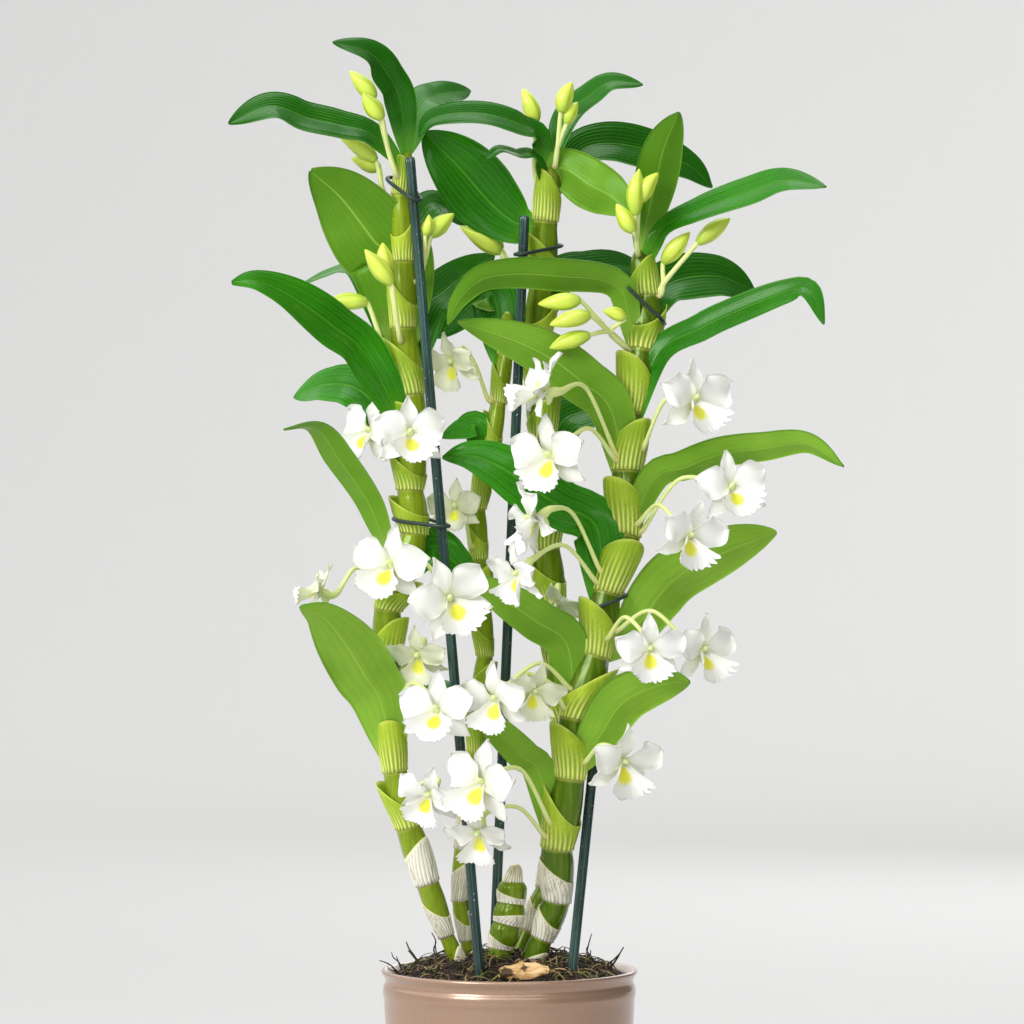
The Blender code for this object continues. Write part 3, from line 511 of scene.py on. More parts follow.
def petal_look():
    """A soft white blade: green-yellow at its foot, faint veins, a breath of violet at its tip."""
    look = Look("petal_white", Roughness=0.55, Subsurface_Weight=0.2, Subsurface_Scale=0.003,
                Subsurface_Radius=(1.0, 1.0, 0.8), Sheen_Weight=0.15)
    along, across, tone = look.values()
    # The tone greens a petal a little at random, and more on a bloom in the shade, where it is painted shade
    look.ground(tone, (0.92, 0.92, 0.89), (0.66, 0.72, 0.32))
    look.paint(along.span(0.02, 0.36, 0.6, 0.0), (0.66, 0.72, 0.26))
    look.paint(along.span(0.9, 1.0) * look.noise(90.0) * 0.28, VIOLET)
    veins = across.waves(4.5, 4.0)
    look.paint(veins * 0.06, (0.6, 0.66, 0.4))
    look.bump(veins * 0.6 + look.noise(1500.0, 2.0) * 0.3, 0.25, 0.0002)
    return look.material


def lip_look():
    """The lip: a yellow throat with greenish streaks that runs out to a white frill."""
    look = Look("lip_skin", Roughness=0.5, Subsurface_Weight=0.2, Subsurface_Scale=0.003,
                Subsurface_Radius=(1.0, 0.9, 0.5), Sheen_Weight=0.2)
    along, across, tone = look.values()
    # The tone greens a lip a little at random, and more on a bloom in the shade, where it is painted shade
    look.ground(tone, (0.93, 0.93, 0.9), (0.7, 0.74, 0.38))
    away = abs(along - 0.36) ** 2.0 * 9.0 + abs(across) ** 2.0 * 2.6 + look.noise(500.0) * 0.5
    yellow = look.mix(across.waves(6.5, 2.0) * 0.45, (0.84, 0.82, 0.05), (0.56, 0.66, 0.04))
    look.paint(away.span(0.5, 1.15, 1.0, 0.0), yellow)
    look.paint(along.span(0.9, 1.0) * look.noise(120.0) * 0.25, VIOLET)
    look.bump(look.noise(1100.0, 2.0), 0.35, 0.0003)
    return look.material


def stalk_look(name, body, foot_colour):
    """A smooth stalk, tinted at its foot."""
    look = Look(name, Roughness=0.35, Coat_Weight=0.2, Subsurface_Weight=0.1,
                Subsurface_Scale=0.0015, Subsurface_Radius=(1.0, 1.0, 0.4))
    along, _, _ = look.values()
    look.ground(along.span(0.0, 0.16, 0.7, 0.0), body, foot_colour)
    look.paint(look.noise(300.0) * 0.3, (0.6, 0.74, 0.2))
    look.bump(look.noise(900.0), 0.2, 0.0002)
    return look.material


def bud_look():
    """A closed bud: pale yellow-green, greener in its seams and at its foot."""
    look = Look("bud_skin_fine", Roughness=0.38, Coat_Weight=0.2, Subsurface_Weight=0.15,
                Subsurface_Scale=0.002, Subsurface_Radius=(1.0, 1.0, 0.3))
    along, seam, tone = look.values()
    look.ground(look.noise(110.0) * tone, (0.7, 0.8, 0.09), (0.46, 0.68, 0.05))
    look.paint(along.span(0.0, 0.35, 0.6, 0.0), (0.36, 0.56, 0.06))
    look.paint(seam * 0.7, (0.34, 0.52, 0.05))
    look.bump(look.noise(700.0, 3.0), 0.2, 0.0002)
    return look.material


def stake_look():
    """Dark green moulded plastic with scuffs, and pale specks painted as glints on its tiny bumps."""
    look = Look("stake_green", Specular_IOR_Level=0.5, Coat_Weight=0.25, Coat_Roughness=0.1)
    scuff = look.noise(160.0, 5.0, (1.0, 1.0, 0.15))
    look.ground(scuff.span(0.35, 0.75), (0.006, 0.03, 0.025), (0.03, 0.09, 0.075))
    # Pale specks: painted glints of light on small bumps in the coating
    look.paint(look.noise(900.0, 2.0).span(0.72, 0.76), (0.6, 0.68, 0.62))
    look.rough(scuff, 0.16, 0.34)
    look.bump(look.noise(1200.0), 0.2, 0.0002)
    return look.material


def tie_look():
    """Dark coated wire, a little worn."""
    look = Look("tie_coat")
    worn = look.noise(500.0, 3.0)
    look.ground(worn, (0.004, 0.014, 0.011), (0.02, 0.05, 0.04))
    look.rough(worn, 0.28, 0.45)
    look.bump(worn, 0.15, 0.0002)
    return look.material


def lacquer_look(name, deep, light, metallic, roughness):
    """Metal-flake lacquer with a very fine grain."""
    look = Look(name, Metallic=metallic, Coat_Weight=0.6, Coat_Roughness=0.1)
    flake = look.noise(2600.0, 1.0)
    cloud = look.noise(14.0)
    look.ground(cloud * 0.9, deep, light)
    look.paint(flake.span(0.62, 0.72, 0.0, 0.12), (0.9, 0.78, 0.68))
    look.rough(cloud, roughness, roughness + 0.07)
    look.bump(flake, 0.02, 0.0001)
    return look.material


def crumb_look(name, dark, light, scale, roughness):
    """A rough plant crumb: bark, fibre or soil."""
    look = Look(name, Roughness=roughness)
    _, _, tone = look.values()
    look.ground((look.noise(scale, 6.0) * 0.7 + tone * 0.5).span(0.3, 0.95), dark, light)
    look.bump(look.noise(scale * 2.0, 5.0), 0.7, 0.0006)
    return look.material


def chip_look():
    """A dry bark chip: tan with dark fibres, darker edges, and two uneven pits painted near-black as the
    shade inside them.
    """
    look = Look("bark_dry", Roughness=0.8)
    along, across, _ = look.values()
    grain = look.noise(420.0, 6.0, (0.2, 1.0, 1.0))
    blot = look.noise(150.0, 4.0)
    look.ground(grain.span(0.34, 0.66), (0.5, 0.27, 0.08), (0.84, 0.6, 0.3))
    look.paint(blot.span(0.55, 0.75, 0.0, 0.5), (0.26, 0.12, 0.04))
    # Two uneven pits, painted near-black: painted shade inside them
    for centre, side, reach in ((0.1, -0.2, 0.22), (0.5, 0.3, 0.12)):
        away = abs(along - centre) + abs(across - side) * 0.16 + grain * 0.16
        look.paint(away.span(reach, reach + 0.07, 0.9, 0.0), (0.035, 0.014, 0.006))
    # Darker towards its edges
    look.paint(abs(across).span(0.7, 1.0, 0.0, 0.7), (0.24, 0.11, 0.035))
    look.bump(grain + blot, 0.9, 0.0012)
    return look.material


def unit(vector):
    vector = np.array(vector, float)
    return vector / np.linalg.norm(vector)


def spread(points, shares):
    """Places along a run of points, at the given shares of its length."""
    along = np.concatenate([[0.0], np.cumsum(np.linalg.norm(np.diff(points, axis=0), axis=1))])
    want = np.array(shares) * along[-1]
    return np.column_stack([np.interp(want, along, points[:, k]) for k in range(3)])


def sample(points, steps):
    """A smooth curve through the points at steps + 1 places, or at the given shares of its length."""
    points = np.array(points, float)
    run = np.vstack([2 * points[0] - points[1], points, 2 * points[-1] - points[-2]])
    dense = []
    for a, b, c, d in zip(run, run[1:], run[2:], run[3:]):
        for t in np.linspace(0.0, 1.0, 12, endpoint=False):
            bend = (2 * a - 5 * b + 4 * c - d) * t * t
            twist = (3 * b - a - 3 * c + d) * t ** 3
            dense.append(0.5 * (2 * b + (c - a) * t + bend + twist))
    shares = np.linspace(0.0, 1.0, steps + 1) if np.isscalar(steps) else steps
    return spread(np.array(dense + [points[-1]]), shares)


def directions(path):
    ahead = np.gradient(path, axis=0)
    return ahead / np.linalg.norm(ahead, axis=1)[:, None]


def frames(path):
    """Two directions square to the path at each of its points, without twist."""
    ahead = directions(path)
    across = np.array([0.0, 1.0, 0.0]) if abs(ahead[0][1]) < 0.8 else RIGHT
    pairs = []
    for along in ahead:
        across = unit(across - along * across.dot(along))
        pairs.append((across, np.cross(along, across)))
    return pairs


def net(rows, cols, closed, start=0):
    """Four-sided faces of a grid of points, closed round where asked."""
    faces = []
    for i in range(rows - 1):
        for j in range(cols if closed else cols - 1):
            a = start + i * cols + j
            b = start + i * cols + (j + 1) % cols
            faces.append((a, b, b + cols, a + cols))
    return faces


def caps(rows, cols):
    """The two end faces of a grid of points that is closed round."""
    return [tuple(reversed(range(cols))), tuple(range((rows - 1) * cols, rows * cols))]


def turned(profile, sides):
    """Points of a profile of radii and heights that is turned round the upright axis."""
    angles = np.linspace(0, TURN, sides, endpoint=False)
    return [(r * math.cos(a), r * math.sin(a), z) for r, z in profile for a in angles]


def round_point(place, pair, angle, reach):
    """The point at an angle round a place, in the plane of two directions."""
    return place + reach * (math.cos(angle) * pair[0] + math.sin(angle) * pair[1])


def flutes(count, depth):
    """Waves round a stem, as deep as the given share of its radius."""
    return lambda t, angle: 1.0 + depth * math.cos(count * angle)


def tube(path, radii, sides, tone=0.5, swell=flutes(0, 0.0), pairs=None, loop=False):
    """A round stem with capped ends, or a loop: points, faces and look values."""
    path = np.array(path, float)
    rows = len(path)
    points = []
    looks = []
    for i, (place, pair, radius) in enumerate(zip(path, pairs or frames(path), radii)):
        t = i / (rows - 1)
        for k in range(sides):
            angle = TURN * k / sides
            points.append(round_point(place, pair, angle, radius * swell(t, angle)))
            looks.append((t, k / sides, tone))
    faces = net(rows, sides, True)
    if loop:
        last = (rows - 1) * sides
        faces += [(last + k, last + (k + 1) % sides, (k + 1) % sides, k) for k in range(sides)]
    else:
        faces += caps(rows, sides)
    return points, faces, looks


def blade(grid, thick, tone):
    """A closed blade on a grid of points, thinner to its edges. Its faces are marked 0 above and 1
    below."""
    grid = np.array(grid, float)
    rows, cols = grid.shape[:2]
    out = np.cross(np.gradient(grid, axis=1), np.gradient(grid, axis=0))
    out = out / np.maximum(np.linalg.norm(out, axis=2), 1e-9)[:, :, None]
    across = np.linspace(-1.0, 1.0, cols)
    along = np.linspace(0.0, 1.0, rows)
    half = 0.5 * thick * (1.0 - 0.55 * across ** 4)[None, :, None] * np.ones((rows, 1, 1))
    points = list((grid + out * half).reshape(-1, 3)) + list((grid - out * half).reshape(-1, 3))
    looks = [(t, s, tone) for t in along for s in across] * 2
    under = rows * cols
    faces = net(rows, cols, False)
    kinds = [0] * len(faces) + [1] * len(faces)
    faces += [(under + a, under + d, under + c, under + b) for a, b, c, d in faces]
    edge = [i * cols for i in range(rows)]
    edge += [(rows - 1) * cols + j for j in range(1, cols)]
    edge += [i * cols + cols - 1 for i in range(rows - 2, -1, -1)]
    edge += list(range(cols - 2, 0, -1))
    for a, b in zip(edge, edge[1:] + edge[:1]):
        faces.append((b, a, under + a, under + b))
        kinds.append(0)
    return points, faces, looks, kinds


class Piece:
    """One piece of the scene that grows shape by shape."""

    def __init__(self, name, slot, nodes, materials):
        self.name = name
        self.slot = slot
        self.nodes = nodes
        self.materials = materials
        self.points = []
        self.faces = []
        self.looks = []
        self.kinds = []

    def add(self, shape, kind=0, step=0):
        """Adds a shape. Its faces take the material of the given number, plus step for an underside."""
        points, faces, looks = shape[:3]
        base = len(self.points)
        self.points += [tuple(p) for p in points]
        self.looks += [tuple(v) for v in looks]
        self.faces += [tuple(base + i for i in face) for face in faces]
        marks = shape[3] if len(shape) > 3 else [0] * len(faces)
        self.kinds += [kind + step * mark for mark in marks]
        return self

    def done(self):
        mesh = bpy.data.meshes.new(self.name)
        mesh.from_pydata((np.array(self.points) * MM).tolist(), [], self.faces)
        for item in self.materials:
            mesh.materials.append(item)
        mesh.polygons.foreach_set("material_index", self.kinds)
        values = mesh.attributes.new("look", "FLOAT_VECTOR", "POINT")
        values.data.foreach_set("vector", np.array(self.looks, np.float32).ravel())
        mesh.shade_smooth()
        item = bpy.data.objects.new(self.name, mesh)
        bpy.context.scene.collection.objects.link(item)
        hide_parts(*self.nodes)
        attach(item, "root")


def cane_place(name, joint):
    """Centre and radius of a cane at a joint number, which may lie between two joints."""
    rows = np.array(CANES[name], float)
    low = max(0, min(int(joint), len(rows) - 2))
    row = rows[low] + (rows[low + 1] - rows[low]) * (joint - low)
    return row[:3], row[3]


def cane_frame(name, joint):
    """Direction of a cane at a joint number, and two directions square to it."""
    ahead = unit(cane_place(name, joint + 0.35)[0] - cane_place(name, joint - 0.35)[0])
    across = unit(RIGHT - ahead * ahead[0])
    return ahead, across, np.cross(ahead, across)


def stem_share(part):
    """Share of the full radius between two joints: pinched at a joint, swollen between."""
    ring = 0.05 * math.exp(-(min(part, 1 - part) / 0.03) ** 2)
    return 0.8 + 0.19 * math.sin(math.pi * part) ** 0.8 + ring


def cane_stem(name, tone):
    """The glossy stem of a cane, lightly fluted and rounded off at its top."""
    joints = len(CANES[name]) - 1
    last = joints * STEM_STEPS
    path = []
    radii = []
    pairs = []
    for i in range(last + 1):
        place, radius = cane_place(name, i / STEM_STEPS)
        close = max(0.0, 1.0 - (last - i) / 4)
        path.append(place)
        radii.append(radius * stem_share(i / STEM_STEPS % 1.0) * math.sqrt(1.0 - 0.8 * close * close))
        pairs.append(cane_frame(name, i / STEM_STEPS)[1:])
    points, faces, looks = tube(path, radii, CANE_AROUND, tone, flutes(STEM_FLUTES, 0.018), pairs)
    return points, faces, [(t * joints, s, tone) for t, s, _ in looks]


def sheath(name, low, lean, high, dip, flare, tone, dry):
    """A sheath that clasps the stem above a joint. Its mouth is high on the side it leans to and
    dips to a point on the other side. A dry one has flat strips with thin furrows, not ribs."""
    rows = SHEATH_ROWS
    cols = RIBS * RIB_POINTS
    outer = []
    inner = []
    looks = []
    for i in range(rows):
        t = i / (rows - 1)
        for k in range(cols):
            angle = TURN * k / cols
            turn = abs((angle - lean + math.pi) % TURN - math.pi) / math.pi
            toward = 0.5 + 0.5 * math.cos(math.pi * turn)
            mouth = dip + (high - dip) * toward ** 1.15
            part = SHEATH_FOOT + (mouth - SHEATH_FOOT) * t
            place, radius = cane_place(name, low + part)
            pair = cane_frame(name, low + part)[1:]
            wander = 0.5 * math.sin(3 * angle + 9.0 * tone) + 0.3 * math.sin(5 * angle + 20.0 * tone)
            sweep = angle - 0.55 * t * t * math.sin(lean - angle)
            swell = 0.5 + 0.5 * math.cos(RIBS * sweep + wander)
            rib = 1.0 - swell ** 4 if dry else swell ** (1.3 + 3.5 * t)
            share = stem_share(part) + 0.045 + flare * t ** 1.6 * (0.1 + 0.9 * toward ** 3)
            reach = radius * share + RIB_HEIGHT * rib * (1.0 - 0.8 * t)
            outer.append(round_point(place, pair, angle, reach))
            inner.append(round_point(place, pair, angle, reach - SHEATH_THICK))
            looks.append((t, rib, tone))
    under = rows * cols
    top = under - cols
    faces = net(rows, cols, True)
    faces += [(d, c, b, a) for a, b, c, d in net(rows, cols, True, under)]
    for k in range(cols):
        b = (k + 1) % cols
        faces.append((b, k, under + k, under + b))
        faces.append((top + k, top + b, under + top + b, under + top + k))
    return outer + inner, faces, looks + looks


def dry_cap(name, tone):
    """The withered tip of an old cane: a crooked ribbed paper cone on its last joint."""
    last = len(CANES[name]) - 1
    foot, radius = cane_place(name, last)
    ahead, across, _ = cane_frame(name, last - 0.4)
    path = []
    radii = []
    for t in np.linspace(0.0, 1.0, 14):
        path.append(foot + ahead * (CAP_REACH * t - 3.0) + across * 0.9 * math.sin(3.0 * t) * t)
        radii.append(radius * (0.84 - 0.4 * t ** 0.7) * (1.0 - 0.35 * t ** 8))
    points, faces, looks = tube(path, radii, RIBS * 6, tone, flutes(RIBS, 0.05))
    marks = [(t, (0.5 + 0.5 * math.cos(RIBS * TURN * s)) * (1.0 - t ** 3), tone) for t, s, _ in looks]
    return points, faces, marks


def leaf_width(t):
    """Share of the full width: a narrow foot, widest past the middle, a pointed tip."""
    return 2.9 * (t + 0.04) ** 0.9 * (1.004 - t) ** 0.75


def leaf(path, width, tilt_foot, tilt_tip, dice):
    """A leaf along the path: folded at its midrib, with softly waved edges."""
    shares = 1.0 - (1.0 - np.linspace(0.0, 1.0, LEAF_ROWS)) ** 1.35
    line = sample(path, shares)
    swing = dice.uniform(0.0, TURN)
    count = dice.uniform(1.2, 2.2)
    grid = []
    for t, place, along in zip(shares, line, directions(line)):
        tilt = math.radians(tilt_foot + (tilt_tip - tilt_foot) * t)
        face = np.array([0.0, -math.sin(tilt), math.cos(tilt)])
        face = unit(face - along * face.dot(along))
        side = np.cross(along, face)
        half = max(0.5 * width * leaf_width(t), 0.5)
        row = []
        for s in np.linspace(-1.0, 1.0, LEAF_COLS):
            fold = 0.26 * half * (math.sqrt(s * s + 0.012) - 0.11) - 0.1 * half * s ** 4
            wave = 0.035 * width * math.sin(TURN * count * t + swing + 1.3 * s) * s * s * t
            row.append(place + side * half * s + face * (fold + wave))
        grid.append(row)
    # Low leaves get a higher tone: a paler, yellower green
    tone = min(1.0, max(0.0, 1.15 - path[-1][2] / 480.0) + dice.uniform(0.0, 0.35))
    return blade(grid, LEAF_THICK, tone)


def bloom_axes(turn, lift, roll):
    """The directions to the front, the top and the side of a bloom."""
    a = math.radians(turn)
    e = math.radians(lift)
    r = math.radians(roll)
    front = np.array([math.sin(a) * math.cos(e), -math.cos(a) * math.cos(e), math.sin(e)])
    up = unit(UP - front * front[2])
    side = np.cross(up, front)
    return front, up * math.cos(r) + side * math.sin(r), side * math.cos(r) - up * math.sin(r)


def sepal_width(t):
    return math.sin(math.pi * (0.05 + 0.95 * t) ** 0.95) ** 0.95


def petal_width(t):
    return math.sin(math.pi * (0.03 + 0.97 * t) ** 1.3) ** 0.78


# Each sepal and petal: its angle from the top, reach, width and cup as shares of the bloom's size,
# how far it lies in front of the centre, its outline, and how much its margin waves
TEPALS = [
    (0, 1.04, 0.5, 0.08, -0.7, sepal_width, 0.04),
    (125, 1.0, 0.54, 0.1, -0.7, sepal_width, 0.04),
    (-125, 1.0, 0.54, 0.1, -0.7, sepal_width, 0.04),
    (66, 1.04, 0.88, 0.2, 1.1, petal_width, 0.1),
    (-66, 1.04, 0.88, 0.2, 1.1, petal_width, 0.1),
]


def tepal(centre, out, front, size, reach, width, cup, layer, outline, wave, tone, dice):
    """A sepal or petal that stands out from the centre, cupped, with a waved margin."""
    flank = np.cross(out, front)
    swing = dice.uniform(0.0, TURN)
    curl = dice.uniform(-0.16, 0.1)
    grid = []
    for t in np.linspace(0.0, 1.0, TEPAL_ROWS):
        ahead = layer + size * cup * math.sin(2.6 * t)
        middle = centre + out * reach * size * t + front * ahead
        half = max(0.5 * width * size * outline(t), 0.35)
        row = []
        for s in np.linspace(-1.0, 1.0, TEPAL_COLS):
            edge = abs(s) ** 3 * math.sin(math.pi * t) ** 0.5
            lift = 0.1 * s * s * t + wave * s * s * math.sin(8.0 * t + swing + 2.0 * s)
            lift += curl * t ** 3 + 0.5 * wave * edge * math.sin(17.0 * t + 3.0 * s + swing)
            jag = 1.0 + 0.45 * wave * edge * math.sin(13.0 * t + 5.0 * s + swing)
            row.append(middle - flank * half * s * jag + front * size * lift)
        grid.append(row)
    return blade(grid, PETAL_THICK, tone)


def lip(centre, front, up, side, size, tone, dice):
    """The lip: rolled into a tube at its foot, flared and frilled at its edge."""
    forward = unit(0.75 * front - 0.65 * up)
    over = np.cross(side, forward)
    if over.dot(up) < 0:
        over = -over
    swing = dice.uniform(0.0, TURN)
    grid = []
    for t in np.linspace(0.0, 1.0, LIP_ROWS):
        wide = 0.07 + 0.5 * t ** 1.1 + 0.06 * t ** 4
        wrap = 2.1 - 0.8 * t ** 0.9
        row = []
        for s in np.linspace(-1.0, 1.0, LIP_COLS):
            frill = max(t ** 4, 0.8 * abs(s) ** 6 * t)
            crimp = 0.085 * frill * math.sin(21.0 * s + 12.0 * t * abs(s) + swing)
            crimp += 0.05 * frill * math.sin(43.0 * s + 5.0 * t + swing)
            run = t * (1.0 - 0.2 * abs(s) ** 3 * t) + 0.4 * crimp
            foot = centre + front * 0.6 + forward * size * 0.9 * run
            foot = foot - over * size * (0.1 * min(1.0, 2.0 * t) + 0.1 * t ** 5 * (1 - s * s))
            ring = math.sin(wrap * s) * side + (1 - math.cos(wrap * s)) * over
            row.append(foot + ring * size * wide * (1.0 + crimp))
        grid.append(row)
    return blade(grid, PETAL_THICK, tone)


def stalk_foot(cane, joint, aim):
    """Where a stalk starts inside its cane, and its level direction towards the place it aims at."""
    root, radius = cane_place(cane, joint)
    out = unit((aim - root) * (1.0 - UP))
    return root + out * (ROOT_SHARE * radius), out


def bloom_stalk(cane, joint, centre, front):
    """The arched stalk that a bloom nods from."""
    start, out = stalk_foot(cane, joint, centre)
    rise = max(6.0, 0.3 * np.linalg.norm(centre - start))
    knee = start + (centre - start) * 0.45 + UP * rise
    back = centre - front * 9.0 + UP * 3.0
    path = sample([start, start + out * 3.0, knee, back, centre - front * 2.0, centre], STALK_STEPS)
    return tube(path, np.interp(np.linspace(0, 1, STALK_STEPS + 1), *zip(*STALK_RADII)), STALK_SIDES)


def build_flowers(looks):
    for number, (cane, joint, centre, turn, lift, roll, size) in enumerate(BLOOMS, 1):
        dice = random.Random(BLOOM_SEED + number)
        name = f"flower_{number:02d}"
        piece = Piece(name + "_bloom", "petal", [name], looks)
        centre = np.array(centre, float)
        front, up, side = bloom_axes(turn, lift, roll)
        # A bloom back in the shade gets a greener tone: painted shade
        tone = SHADED_BLOOM_TONE if size <= SMALL_BLOOM else dice.uniform(0.0, 0.12)
        for angle, *form in TEPALS:
            angle = math.radians(angle + dice.uniform(-4.0, 4.0))
            out = up * math.cos(angle) + side * math.sin(angle)
            piece.add(tepal(centre, out, front, size, *form, tone, dice))
        piece.add(lip(centre, front, up, side, size, tone, dice), LIP)
        tip = centre + unit(front + 0.5 * up) * size * 0.32
        column = sample([centre, (centre + tip) / 2 + up * 0.4, tip], len(COLUMN_RADII) - 1)
        piece.add(tube(column, COLUMN_RADII, STALK_SIDES + 2), CAP)
        piece.add(bloom_stalk(cane, joint, centre, front), STALK)
        below = centre - front * 4.4 - up * 6.0
        chin = sample([centre - front * 2.0, below + front * 0.4 + up * 3.0, below], len(CHIN_RADII) - 1)
        piece.add(tube(chin, CHIN_RADII, STALK_SIDES), CAP)
        piece.done()


def bud(low, tip, thick, dice):
    """A closed bud: a plump spindle with three seams, bent a little to its tip."""
    bend = np.array([dice.uniform(-1, 1), dice.uniform(-1, 1), dice.uniform(0, 1)]) * thick * 0.25
    path = sample([low, (low + tip) / 2 + bend, tip], BUD_ROWS)
    tone = dice.random()
    radii = [max(0.3, thick * (math.sin(math.pi * (0.06 + 0.93 * t) ** 0.85) ** 0.75))
             for t in np.linspace(0.0, 1.0, BUD_ROWS + 1)]

    def seam(t, angle):
        return max(0.0, math.cos(BUD_SEAMS * angle + 1.5 * t)) ** 8

    def swell(t, angle):
        return 1.0 - 0.16 * seam(t, angle) + 0.05 * math.sin(2 * angle + 5.0 * t + 9.0 * tone)

    points, faces, looks = tube(path, radii, BUD_SIDES, tone, swell)
    return points, faces, [(t, seam(t, TURN * s), tone) for t, s, _ in looks]


def build_buds(looks):
    for number, (cane, joint, buds) in enumerate(BUDS, 1):
        dice = random.Random(BUD_SEED + number)
        name = f"buds_{number:02d}"
        piece = Piece(name + "_cluster", "bud_skin", [name], looks)
        first = np.array(buds[0][0], float)
        start, out = stalk_foot(cane, joint, first)
        fork = start + out * 2.5 + (first - start) * 0.35
        radii = np.linspace(1.5, 1.15, BUD_STALK_STEPS + 1)
        for low, tip in np.array(buds, float):
            thick = min(4.6, 0.27 * np.linalg.norm(tip - low))
            path = sample([start, start + out * 2.0, fork, low, low + (tip - low) * 0.2], BUD_STALK_STEPS)
            piece.add(tube(path, radii, BUD_STALK_SIDES), 1)
            piece.add(bud(low, tip, thick, dice))
        piece.done()


def build_canes(looks):
    stem_skin, green, paper, leaf_top, leaf_under = looks
    for name, rows in CANES.items():
        dice = random.Random(name)
        stem = cane_stem(name, dice.random())
        Piece(name + "_stem", "leafy_stem", [name], [stem_skin]).add(stem).done()
        clasp = Piece(name + "_sheaths", "leafy_stem", [name], [green, paper])
        leaves = LEAVES.get(name, [])
        # A sheath leans to the side on which its leaf stands out
        lean = {}
        for joint, _, _, _, points in leaves:
            root, _ = cane_place(name, joint)
            _, across, other = cane_frame(name, joint)
            out = np.array(points[0], float) - root
            lean.setdefault(int(joint), math.atan2(out.dot(other), out.dot(across)))
        for low in range(len(rows) - 1):
            dry = rows[low][2] < PAPER_BELOW[name]
            side = lean.get(low, math.pi * (low % 2) - 0.5)
            high = dice.uniform(0.76, 0.84) if dry else dice.uniform(0.84, 0.93)
            dip = dice.uniform(0.34, 0.5) if dry else dice.uniform(0.26, 0.4)
            if name in CAPPED:
                high = dice.uniform(0.5, 0.7)
                dip = dice.uniform(0.14, 0.28)
            flare = 0.03 if dry else dice.uniform(0.5, 0.75)
            clasp.add(sheath(name, low, side, high, dip, flare, dice.random(), dry), int(dry))
        if name in CAPPED:
            clasp.add(dry_cap(name, dice.random()), 1)
        clasp.done()
        if leaves:
            foliage = Piece(name + "_leaves", "leafy_stem", [name], [leaf_top, leaf_under])
            for joint, width, tilt_foot, tilt_tip, points in leaves:
                root, _ = cane_place(name, joint)
                foliage.add(leaf([root] + points, width, tilt_foot, tilt_tip, dice), 0, 1)
            foliage.done()


def pot_profile():
    """Radius and height round the pot, from the middle of its underside to that of its floor."""
    return [
        (0.0, 0.0), (BASE_RADIUS - 1.5, 0.0), (BASE_RADIUS, 1.5), (61.7, 60.0), (65.6, 99.0),
        (66.0, 110.0), (66.7, 112.5), (66.4, 116.0), (65.3, 118.0), (65.4, 120.5),
        (RIM_RADIUS, 123.6), (RIM_RADIUS - 0.6, POT_HEIGHT), (RIM_RADIUS - 2.8, POT_HEIGHT),
        (RIM_RADIUS - 5.0, 121.0), (RIM_RADIUS - 5.2, 100.0), (BASE_RADIUS - 3.0, POT_FLOOR),
        (0.0, POT_FLOOR),
    ]


def round_off(profile, reach):
    """The profile with each corner rounded over the given length, or over less where it is short."""
    profile = np.array(profile, float)
    made = [profile[0]]
    for before, corner, after in zip(profile, profile[1:], profile[2:]):
        back = before - corner
        ahead = after - corner
        share = min(reach, 0.45 * np.linalg.norm(back), 0.45 * np.linalg.norm(ahead))
        start = corner + unit(back) * share
        end = corner + unit(ahead) * share
        for t in np.linspace(0.0, 1.0, 6):
            made.append((1 - t) ** 2 * start + 2 * t * (1 - t) * corner + t * t * end)
    return made + [profile[-1]]


def build_pot(looks):
    """The pot: copper lacquer outside, and a paler one from the crest of the rim inwards, a painted
    reflection of the bright room.
    """
    ring = [p for p in round_off(pot_profile(), POT_ROUNDING) if p[0] > 0.01]
    points = turned(ring, POT_STEPS)
    faces = net(len(ring), POT_STEPS, True)
    crest = max(range(len(ring)), key=lambda i: (ring[i][1], -ring[i][0]))
    inside = [int(face[0] // POT_STEPS >= crest) for face in faces]
    last = len(points)
    points += [(0.0, 0.0, 0.0), (0.0, 0.0, POT_FLOOR)]
    for k in range(POT_STEPS):
        b = (k + 1) % POT_STEPS
        faces.append((b, k, last))
        faces.append((last - POT_STEPS + k, last - POT_STEPS + b, last + 1))
        inside += [0, 1]
    shape = (points, faces, [(0.0, 0.0, 0.5)] * len(points), inside)
    Piece("cover_pot", "pot_lacquer", ["pot"], looks).add(shape, 0, 1).done()


def mix_height(x, y):
    """Height of the growing mix at a place: mounded behind the middle and rough all over."""
    mound = MIX_MOUND * math.exp(-((x * x + (y - 16.0) ** 2) / 2900.0) ** 1.6)
    place = Vector((x, y, 0.0))
    rough = 1.3 * noise.noise(place / 9.0) + 1.1 * noise.noise(place / 3.6) + 0.6 * noise.noise(place / 1.5)
    return MIX_EDGE - 1.2 + mound + rough


def scatter(edge, dice):
    """A random place on the mix, no further out than the edge."""
    angle = dice.uniform(0, TURN)
    reach = edge * math.sqrt(dice.random())
    return reach * math.cos(angle), reach * math.sin(angle)


